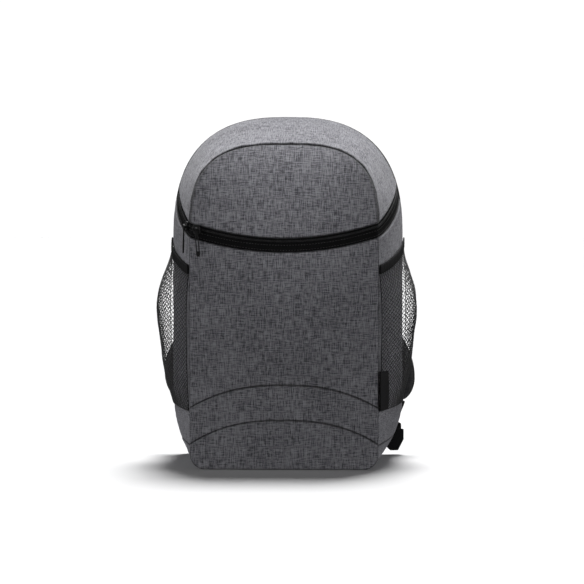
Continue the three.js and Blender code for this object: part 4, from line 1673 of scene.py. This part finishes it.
@dataclass
class Slider:
    """One zip slider and its pull, seated where its hinge is."""

    label: str
    ride: Ride
    finish: Wardrobe
    joint: dict
    width: float = 0.009
    height: float = 0.011
    thick: float = 0.003
    eye_radius: float = 0.0019
    seat: float = 0.00075
    bar_radius: float = 0.0007
    post: float = 0.0016
    bore: float = 0.00105
    eye_width: float = 0.0034
    pull_width: float = 0.0046
    pull_length: float = 0.031
    pull_thick: float = 0.0015
    slot_width: float = 0.002

    @property
    def bar_out(self) -> float:
        """How far the bail bar stands in front of the slider's back."""
        return self.thick + self.eye_radius + self.seat / 2

    def frame(self) -> Matrix:
        """The slider's own frame round its bail bar: X along the zip, -Y outwards."""
        along = -Vector(self.joint["axis"]).normalized()
        outward = Vector((along.y, -along.x, 0)).normalized()
        back = -outward
        up = along.cross(back).normalized()
        turned = Matrix((along, back, up)).transposed().to_4x4()
        return Matrix.Translation(self.joint["pos_m"]) @ turned

    def body(self) -> bpy.types.Object:
        """The slider: a waisted plate with rounded edges, two posts and the bail over them."""
        bpy.ops.mesh.primitive_cube_add(size=1, location=(0, self.bar_out - self.thick / 2, 0))
        plate = bpy.context.active_object
        plate.scale = (self.width, self.thick, self.height)
        settled(plate)
        with editing(plate):
            bpy.ops.mesh.subdivide(number_cuts=1)
        for vertex in plate.data.vertices:
            if abs(vertex.co.z) > self.height * 0.4:
                vertex.co.x *= 0.82
        with editing(plate):
            bpy.ops.mesh.bevel(offset=0.0007, segments=3, affect="EDGES", clamp_overlap=True)
        parts = [plate]
        for sign in (-1, 1):
            reach = self.bar_out + self.bar_radius - self.thick / 2
            bpy.ops.mesh.primitive_cube_add(
                size=1, location=(sign * (self.width - self.post) / 2, reach / 2 - self.bar_radius, 0)
            )
            post = bpy.context.active_object
            post.scale = (self.post, reach, self.eye_radius * 2)
            settled(post)
            with editing(post):
                bpy.ops.mesh.bevel(offset=0.00045, segments=3, affect="EDGES")
            parts.append(post)
        bpy.ops.mesh.primitive_cylinder_add(
            vertices=20, radius=self.bar_radius, depth=self.width - self.post, rotation=(0, math.pi / 2, 0)
        )
        parts.append(settled(bpy.context.active_object))
        select_only(*parts)
        bpy.ops.object.join()
        return smooth(parts[0], 40)

    def pull(self) -> bpy.types.Object:
        """The pull: an eye round the bail bar and a long tapered tongue with a slot."""
        ring = self._eye()
        tongue = self._tongue()
        select_only(tongue, ring)
        bpy.ops.object.join()
        return smooth(tongue, 40)

    def _eye(self) -> bpy.types.Object:
        """The eye, a short thick ring along X."""
        bpy.ops.mesh.primitive_cylinder_add(
            vertices=28, radius=self.eye_radius, depth=self.eye_width, end_fill_type="NOTHING",
            rotation=(0, math.pi / 2, 0),
        )
        ring = settled(bpy.context.active_object)
        modified(ring, "SOLIDIFY", thickness=self.eye_radius - self.bore, offset=-1.0)
        return modified(ring, "BEVEL", width=0.0002, segments=2, limit_method="ANGLE")

    def _tongue(self) -> bpy.types.Object:
        """The tongue: a plate with a slot, wider and rounder towards its end."""
        start = (self.eye_radius + self.bore) / 2
        half, slot = self.pull_width / 2, self.slot_width / 2
        narrowing = np.array([0.55, 0.98, 1.0, 0.92, 0.86, 0.84, 0.6])
        x = narrowing[:, None] * np.array([-half, -slot, slot, half])
        z = (np.array([-0.5, -0.44, -0.3, 0.0, 0.27, 0.4, 0.5]) - 0.5) * self.pull_length - start
        tongue = slotted_plate(x, z, (2, 3), self.pull_thick)
        sharp = math.radians(50)
        modified(tongue, "BEVEL", width=0.0003, segments=2, limit_method="ANGLE", angle_limit=sharp)
        return tongue

    def build(self) -> None:
        """The slider and its pull in place."""
        frame = self.frame()
        body = self.body()
        body.name = f"zip_slider_{self.label}"
        handed_in(placed(body, frame), self.finish.metal, Slot.METAL, [f"zip_slider_{self.label}"])
        pull = self.pull()
        pull.name = f"zip_pull_{self.label}"
        handed_in(placed(pull, frame), self.finish.metal, Slot.METAL, [f"zip_pull_{self.label}"], self.ride)


@dataclass
class Tag:
    """The small bare woven tag folded into the right front seam."""

    finish: Wardrobe
    height: float = 0.046
    width: float = 0.020
    thick: float = 0.001
    low: float = 0.071
    splay: float = 28.0
    stand_off: float = 0.0016
    layer_share: float = 0.42
    curl: float = 0.0009

    def build(self) -> None:
        """The tag as a folded loop of thin webbing."""
        turn = np.linspace(0, math.pi, 9)
        layer = self.thick * self.layer_share
        outline = [(0.0, 0.0), (self.width * 0.35, 0.0), (self.width * 0.75, 0.0)]
        out = [(y, -layer) for y, _ in outline]
        fold = [(self.width - layer + layer * math.sin(a), -layer * math.cos(a)) for a in turn]
        home = [(y, layer) for y, _ in reversed(outline)]
        path = np.array(out + fold + home)
        up = np.linspace(0, 1, 10)
        curl = self.curl * np.sin(math.pi * up)
        grid = np.stack(
            [
                path[None, :, 1] + curl[:, None] * (path[None, :, 0] / self.width) ** 2 + self.thick / 2,
                np.repeat(path[None, :, 0], len(up), 0),
                np.repeat((up * self.height)[:, None], len(path), 1),
            ],
            axis=-1,
        )
        tag = grid_piece("side_tag", grid)
        modified(tag, "SOLIDIFY", thickness=0.0003, offset=0.0)
        turned = Matrix.Rotation(-math.radians(self.splay), 4, "Z")
        place = Matrix.Translation((FORM.front.half + self.stand_off, -FORM.depth / 2, self.low))
        handed_in(smooth(placed(tag, place @ turned), 50), self.finish.webbing, Slot.WEBBING, ["side_tag"])


@dataclass
class Harness:
    """One shoulder strap with its ladder lock, webbing and corner tab."""

    side: Side
    finish: Wardrobe
    top_out: float = 0.045
    end_out: float = 0.154
    top: float = 0.374
    end: float = 0.072
    hook_from: float = 0.84
    hook_inward: float = 0.024
    twist_start: float = 0.35
    twist_length: float = 0.4
    out_power: float = 1.6
    thick: float = 0.011
    top_thick: float = 0.005
    half: float = 0.029
    end_half: float = 0.022
    stand_off: float = 0.024
    end_off: float = 0.009
    clearance: float = 0.0005
    round_share: float = 0.93
    round_depth: float = 0.55
    thicken_rate: float = 6.0
    edge_power: float = 0.42
    face_power: float = 0.75
    edging_half: float = 0.0009
    edging_deep: float = 0.0022
    lock_height: float = 0.024
    lock_thick: float = 0.004
    lock_bar: float = 0.0045
    slot_height: float = 0.0054
    lock_gap: float = 0.0004
    ease: float = 0.001
    webbing: float = 0.024
    webbing_thick: float = 0.0016
    tuck: float = 0.005
    tab: tuple[float, float, float, float] = (0.113, 0.144, 0.005, 0.032)
    lead: float = 0.008
    tab_shoulder: float = 0.014
    tab_thick: float = 0.003

    @property
    def label(self) -> str:
        """The side's name as the nodes have it."""
        return self.side.name.lower()

    def stations(self, body: int, end: int) -> Points:
        """Shares along the strap, closer together round its lower end."""
        rounding = np.linspace(self.round_share, 1, end)[1:]
        return np.concatenate([np.linspace(0, self.round_share, body), rounding])

    def half_at(self, place: Points) -> Points:
        """Half the strap's width at shares along it, rounded off at the lower end."""
        turned = np.maximum(0, (place - self.round_share) / (1 - self.round_share))
        rounded = blend(1, np.sqrt(np.maximum(0, 1 - turned**2)), self.round_depth)
        return blend(self.half, self.end_half, place**2) * rounded

    def thick_at(self, place: Points) -> Points:
        """The strap's thickness at shares along it, which grows from its sewn top."""
        return blend(self.top_thick, self.thick, np.minimum(1, place * self.thicken_rate))

    def middle(self, place: Points) -> Points:
        """The strap's middle line, from 0 at its sewn top to 1 at its lower end."""
        thick = self.thick_at(place)
        hook = np.clip((place - self.hook_from) / (1 - self.hook_from), 0, 1)
        out = blend(self.top_out, self.end_out, place**self.out_power) - self.hook_inward * hook**2
        return np.stack(
            [
                self.side.value * out,
                FORM.back_y
                + self.clearance
                + thick / 2
                + self.stand_off * np.maximum(0, np.sin(math.pi * place)) ** 1.2
                + self.end_off * place,
                blend(self.top, self.end, place),
            ],
            axis=-1,
        )

    def frame(self, place: Points) -> tuple[Points, Points, Points]:
        """The strap's directions at places along it: along, across and outwards."""
        step = 0.004
        along = unit(self.middle(np.minimum(1, place + step)) - self.middle(np.maximum(0, place - step)))
        across = unit(np.stack([-along[..., 2], np.zeros_like(place), along[..., 0]], axis=-1))
        outward = unit(np.cross(across, along))
        outward = outward * np.where(outward[..., 1:2] < 0, -1, 1)
        return along, across, outward

    def pad(self) -> bpy.types.Object:
        """The padded strap, crowned on both faces, with a rolled edge."""
        place = self.stations(90, 14)
        along, across, outward = self.frame(place)
        half = self.half_at(place)
        thick = self.thick_at(place) / 2
        thick = thick * (1 + 0.03 * ripple(place * 0.3, 0.05, 3.0 + self.side.value))
        angle = np.linspace(0, 2 * math.pi, 41)[:-1]
        wide = squarer(np.cos(angle), self.edge_power)
        deep = squarer(np.sin(angle), self.face_power)
        edge = np.clip((np.abs(wide) - 0.86) / 0.06, 0, 1) * np.clip((1.0 - np.abs(wide)) / 0.04, 0, 1)
        deep = deep * (1 - 0.22 * edge)
        rings = (
            self.middle(place)[:, None]
            + across[:, None] * (half[:, None] * wide[None])[..., None]
            + outward[:, None] * (thick[:, None] * deep[None])[..., None]
        )
        piece = tube_piece(f"shoulder_strap_{self.label}", rings)
        return smooth(piece, 60)

    def binding(self) -> bpy.types.Object:
        """The narrow woven binding sewn round the strap's edge."""
        place = self.stations(80, 12)
        _, across, outward = self.frame(place)
        half = self.half_at(place)
        middle = self.middle(place)
        run = np.concatenate(
            [middle + across * half[:, None] * 0.985, (middle - across * half[:, None] * 0.985)[::-1]]
        )
        back = np.concatenate([outward, outward[::-1]])
        tangent = unit(np.gradient(run, axis=0))
        sideways = unit(np.cross(tangent, back))
        angle = np.linspace(0, 2 * math.pi, 13)[:-1]
        rings = (
            run[:, None]
            + sideways[:, None] * (self.edging_half * np.cos(angle))[None, :, None]
            + back[:, None] * (self.edging_deep * np.sin(angle))[None, :, None]
        )
        return smooth(tube_piece(f"strap_edge_{self.label}", rings), 60)

    def lock_frame(self) -> Matrix:
        """The ladder lock's own frame: X across the strap, Y outwards and Z up along it."""
        along, across, outward = (Vector(part[0]) for part in self.frame(np.array([1.0])))
        across = across * (1 if across.x > 0 else -1)
        up = across.cross(outward)
        middle = Vector(self.middle(np.array([1.0]))[0]) + along * (self.lock_height / 2 + self.lock_gap)
        return Matrix.Translation(middle) @ Matrix((across, outward, up)).transposed().to_4x4()

    def ladder_lock(self) -> bpy.types.Object:
        """The moulded ladder lock: a rounded frame with two slots and a raised middle bar."""
        wide = self.webbing + 2 * self.ease
        pitch = (self.lock_height - self.lock_bar) / 2
        first = self.lock_height / 2 - self.lock_bar / 2 - pitch / 2
        cuts_z = sorted(
            [self.lock_height / 2, -self.lock_height / 2]
            + [first - n * pitch + sign * self.slot_height / 2 for n in (0, 1) for sign in (-1, 1)]
        )
        cuts_x = [-wide / 2 - self.lock_bar, -wide / 2, wide / 2, wide / 2 + self.lock_bar]
        x = np.array([cuts_x] * len(cuts_z))
        lock = slotted_plate(x, np.array(cuts_z), (1, 3), self.lock_thick)
        modified(lock, "BEVEL", width=0.0009, segments=3, limit_method="ANGLE", angle_limit=math.radians(50))
        return smooth(placed(lock, self.lock_frame()), 40)

    def webbing_strip(self) -> bpy.types.Object:
        """The webbing from the lock's lower slot down to the corner tab."""
        frame = self.lock_frame()
        across0, outward, up0 = (Vector(frame.col[k][:3]) for k in range(3))
        along = -up0
        slot = frame.translation + along * ((self.lock_height - self.lock_bar) / 4)
        pitch = (self.lock_height - self.lock_bar) / 2
        behind = self.lock_thick / 2 + self.webbing_thick + FORM.gap
        tab_y = FORM.back_y + FORM.gap + self.tab_thick + FORM.gap + self.webbing_thick / 2
        tab_x = self.side.value * (self.tab[1] - self.webbing / 2 - 0.003)
        route = [
            slot + along * (-pitch / 2 - self.tuck) + outward * behind,
            slot + along * (-self.slot_height / 4) + outward * behind,
            slot,
            slot + along * (self.slot_height / 4) - outward * behind,
            slot + along * (pitch / 2 + self.lock_bar) - outward * behind,
            Vector((tab_x, tab_y + self.tab_thick, self.tab[3] + self.lead)),
            Vector((tab_x, tab_y, self.tab[3] - 0.004)),
            Vector((tab_x, tab_y, self.tab[2] + self.lead)),
        ]
        line = np.array([tuple(p) for p in route])
        along_line = distances(line)
        even = np.linspace(0, along_line[-1], 90)
        fine = places_at(even, along_line, line)
        kernel = np.array([1, 2, 3, 2, 1]) / 9
        inner = np.stack([np.convolve(fine[:, k], kernel, "valid") for k in range(3)], axis=-1)
        fine[2:-2] = inner
        tangent = unit(np.gradient(fine, axis=0))
        share = np.clip((even / even[-1] - self.twist_start) / self.twist_length, 0, 1)[:, None]
        across = unit(np.array(across0)[None] * (1 - share) + np.array([1.0, 0, 0])[None] * share)
        normal = unit(np.cross(across, tangent))
        half, deep = self.webbing / 2, self.webbing_thick / 2
        section = [(-1, 0.3), (-0.97, 0.8), (-0.9, 1), (0, 1), (0.9, 1), (0.97, 0.8), (1, 0.3)]
        section = section + [(-a, -b) for a, b in section]
        rings = np.stack([fine + across * (a * half) + normal * (b * deep) for a, b in section], axis=1)
        return smooth(tube_piece(f"strap_webbing_{self.label}", rings), 50)

    def corner_tab(self) -> bpy.types.Object:
        """The folded cloth tab sewn at the lower back corner."""
        inner, outer, low, high = self.tab
        outline = [
            (inner, low + self.tab_shoulder),
            (inner + self.tab_shoulder, low),
            (outer - self.tab_shoulder / 2, low),
            (outer, low + self.tab_shoulder),
            (outer, high),
            (outer - self.webbing - 0.002, high),
        ]
        bpy.ops.mesh.primitive_circle_add(vertices=6, radius=0.01, fill_type="NGON")
        tab = bpy.context.active_object
        tab.name = f"corner_tab_{self.label}"
        y = FORM.back_y + FORM.gap + self.tab_thick
        order = outline if self.side is Side.LEFT else outline[::-1]
        for vertex, (x, z) in zip(tab.data.vertices, order):
            vertex.co = (self.side.value * x, y, z)
        with editing(tab):
            bpy.ops.mesh.normals_make_consistent(inside=False)
        if tab.data.polygons[0].normal.y < 0:
            tab.data.flip_normals()
        modified(tab, "SOLIDIFY", thickness=self.tab_thick, offset=-1.0)
        modified(tab, "BEVEL", width=0.0011, segments=4, limit_method="ANGLE", angle_limit=math.radians(30))
        return smooth(tab, 40)

    def build(self) -> None:
        """The strap and all that hangs on it."""
        label = self.label
        handed_in(self.pad(), self.finish.back, Slot.BACK, [f"shoulder_strap_{label}"])
        handed_in(self.binding(), self.finish.webbing, Slot.WEBBING)
        lock = self.ladder_lock()
        lock.name = f"ladder_lock_{label}"
        handed_in(lock, self.finish.plastic, Slot.PLASTIC, [f"ladder_lock_{label}"])
        handed_in(self.webbing_strip(), self.finish.webbing, Slot.WEBBING, [f"strap_webbing_{label}"])
        handed_in(self.corner_tab(), self.finish.webbing, Slot.WEBBING, [f"corner_tab_{label}"])


@dataclass
class Studio:
    """The camera, the white floor and sweep, and the soft light."""

    distance: float = 3.0
    aim: tuple[float, float, float] = (0.0, 0.0, 0.210)
    azimuth: float = 1.9
    elevation: float = 3.0
    lens: float = 152.5
    shift: tuple[float, float] = (0.0101, -0.0043)
    key_strength: float = 3.9
    key_elevation: float = 66.0
    key_azimuth: float = 9.0
    key_angle: float = 22.0
    lid_power: float = 62.0
    ambient: float = 0.062
    side_power: tuple[float, float] = (15.0, 12.5)
    side_azimuth: float = 72.0
    side_distance: float = 2.2
    side_height: float = 0.17
    side_size: tuple[float, float] = (1.6, 0.3)
    lid_place: tuple[float, float, float] = (0.1, -1.3, 1.5)
    lid_target: tuple[float, float, float] = (0.0, -0.045, 0.378)
    lid_spread: float = 8.5
    lid_size: float = 0.12
    floor_radius: float = 9.0
    floor_tones: tuple[Colour, Colour] = ((0.875, 0.875, 0.88), (0.885, 0.885, 0.89))
    dome_radius: float = 8.8
    dome_glow: float = 1.05

    def camera(self) -> None:
        """A camera at the photograph's viewing angle."""
        data = bpy.data.cameras.new("camera")
        data.lens, data.sensor_width = self.lens, 36.0
        data.shift_x, data.shift_y = self.shift
        data.clip_end = 100.0
        camera = bpy.data.objects.new("camera", data)
        bpy.context.scene.collection.objects.link(camera)
        turn, rise = math.radians(self.azimuth), math.radians(self.elevation)
        back = Vector((math.sin(turn) * math.cos(rise), -math.cos(turn) * math.cos(rise), math.sin(rise)))
        camera.location = Vector(self.aim) + back * self.distance
        camera.rotation_mode = "QUATERNION"
        camera.rotation_quaternion = (-back).to_track_quat("-Z", "Y")
        bpy.context.scene.camera = camera

    def floor(self) -> None:
        """A wide white floor and a white dome round it, which give the bag itself no light."""
        bench = Bench("studio_floor")
        grain = bench.noise(bench.solid(0.4), 1.0)
        floor_paint = bench.finish(bench.tone(*self.floor_tones, grain), 0.9, None)
        bpy.ops.mesh.primitive_circle_add(vertices=96, radius=self.floor_radius, fill_type="NGON")
        floor = bpy.context.active_object
        floor.name = "studio_floor"
        floor.data.materials.append(floor_paint)
        light = Bench("studio_dome")
        glow = light.node("ShaderNodeEmission", {}, {"Color": (1, 1, 1, 1), "Strength": self.dome_glow})
        light.node_out(glow)
        bpy.ops.mesh.primitive_uv_sphere_add(segments=48, ring_count=24, radius=self.dome_radius)
        dome = bpy.context.active_object
        dome.name = "studio_dome"
        dome.data.materials.append(light.material)
        for piece in (floor, dome):
            piece.visible_diffuse = False
            piece.visible_glossy = False
        dome.visible_shadow = False

    def lights(self) -> None:
        """A soft key from above and behind, a low fill at each side, a spot on the lid and a dim room."""
        scene = bpy.context.scene
        key = bpy.data.lights.new("key", "SUN")
        key.energy, key.angle = self.key_strength, math.radians(self.key_angle)
        turn, rise = math.radians(self.key_azimuth), math.radians(self.key_elevation)
        towards = Vector((math.sin(turn) * math.cos(rise), math.cos(turn) * math.cos(rise), math.sin(rise)))
        self._lamp(key, towards * 3, towards)
        for side, power in zip(Side, self.side_power):
            fill = bpy.data.lights.new(f"fill_{side.name.lower()}", "AREA")
            fill.energy, fill.shape, fill.size, fill.size_y = power, "RECTANGLE", *self.side_size
            turn = math.radians(self.side_azimuth)
            place = Vector((side.value * math.sin(turn), -math.cos(turn), 0)) * self.side_distance
            place.z = self.side_height
            self._lamp(fill, place, place - Vector(self.aim))
        lid = bpy.data.lights.new("lid", "SPOT")
        lid.energy, lid.shadow_soft_size = self.lid_power, self.lid_size
        lid.spot_size, lid.spot_blend = math.radians(self.lid_spread), 1.0
        place, target = Vector(self.lid_place), Vector(self.lid_target)
        self._lamp(lid, place, place - target)
        world = bpy.data.worlds.new("room")
        world.use_nodes = True
        world.node_tree.nodes["Background"].inputs["Color"].default_value = (1, 1, 1, 1)
        world.node_tree.nodes["Background"].inputs["Strength"].default_value = self.ambient
        scene.world = world
        scene.view_settings.view_transform = "Standard"
        scene.view_settings.look = "None"

    @staticmethod
    def _lamp(data: bpy.types.Light, place: Vector, towards: Vector) -> None:
        """Puts a light at a place, shining away from a direction."""
        lamp = bpy.data.objects.new(data.name, data)
        bpy.context.scene.collection.objects.link(lamp)
        lamp.location = place
        lamp.rotation_mode = "QUATERNION"
        lamp.rotation_quaternion = towards.to_track_quat("Z", "Y")

    def build(self) -> None:
        """The whole studio."""
        self.camera()
        self.floor()
        self.lights()


def main() -> None:
    """Builds the studio and the bag, sub-assembly by sub-assembly."""
    logging.basicConfig(level=logging.INFO, format="%(name)s %(message)s")
    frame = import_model()
    joints = {joint["name"]: joint for joint in frame["joints"]}
    Studio().build()
    finish = Wardrobe()
    cloth = Cloth(finish)
    cloth.fronts()
    cloth.gussets()
    cloth.back()
    ZipBand(finish).build()
    for side in Side:
        Pocket(side, finish).build()
    Harness(Side.RIGHT, finish).build()
    # The left lock, webbing and tab sit further in, where the bag hides them from the front.
    Harness(Side.LEFT, finish, hook_inward=0.034, tab=(0.103, 0.133, 0.005, 0.032)).build()
    Tag(finish).build()
    Slider("front", Ride.PULL_FRONT, finish, joints["pull_front_hinge"]).build()
    Slider("side", Ride.PULL_SIDE, finish, joints["pull_side_hinge"]).build()


if __name__ == "__main__":
    main()
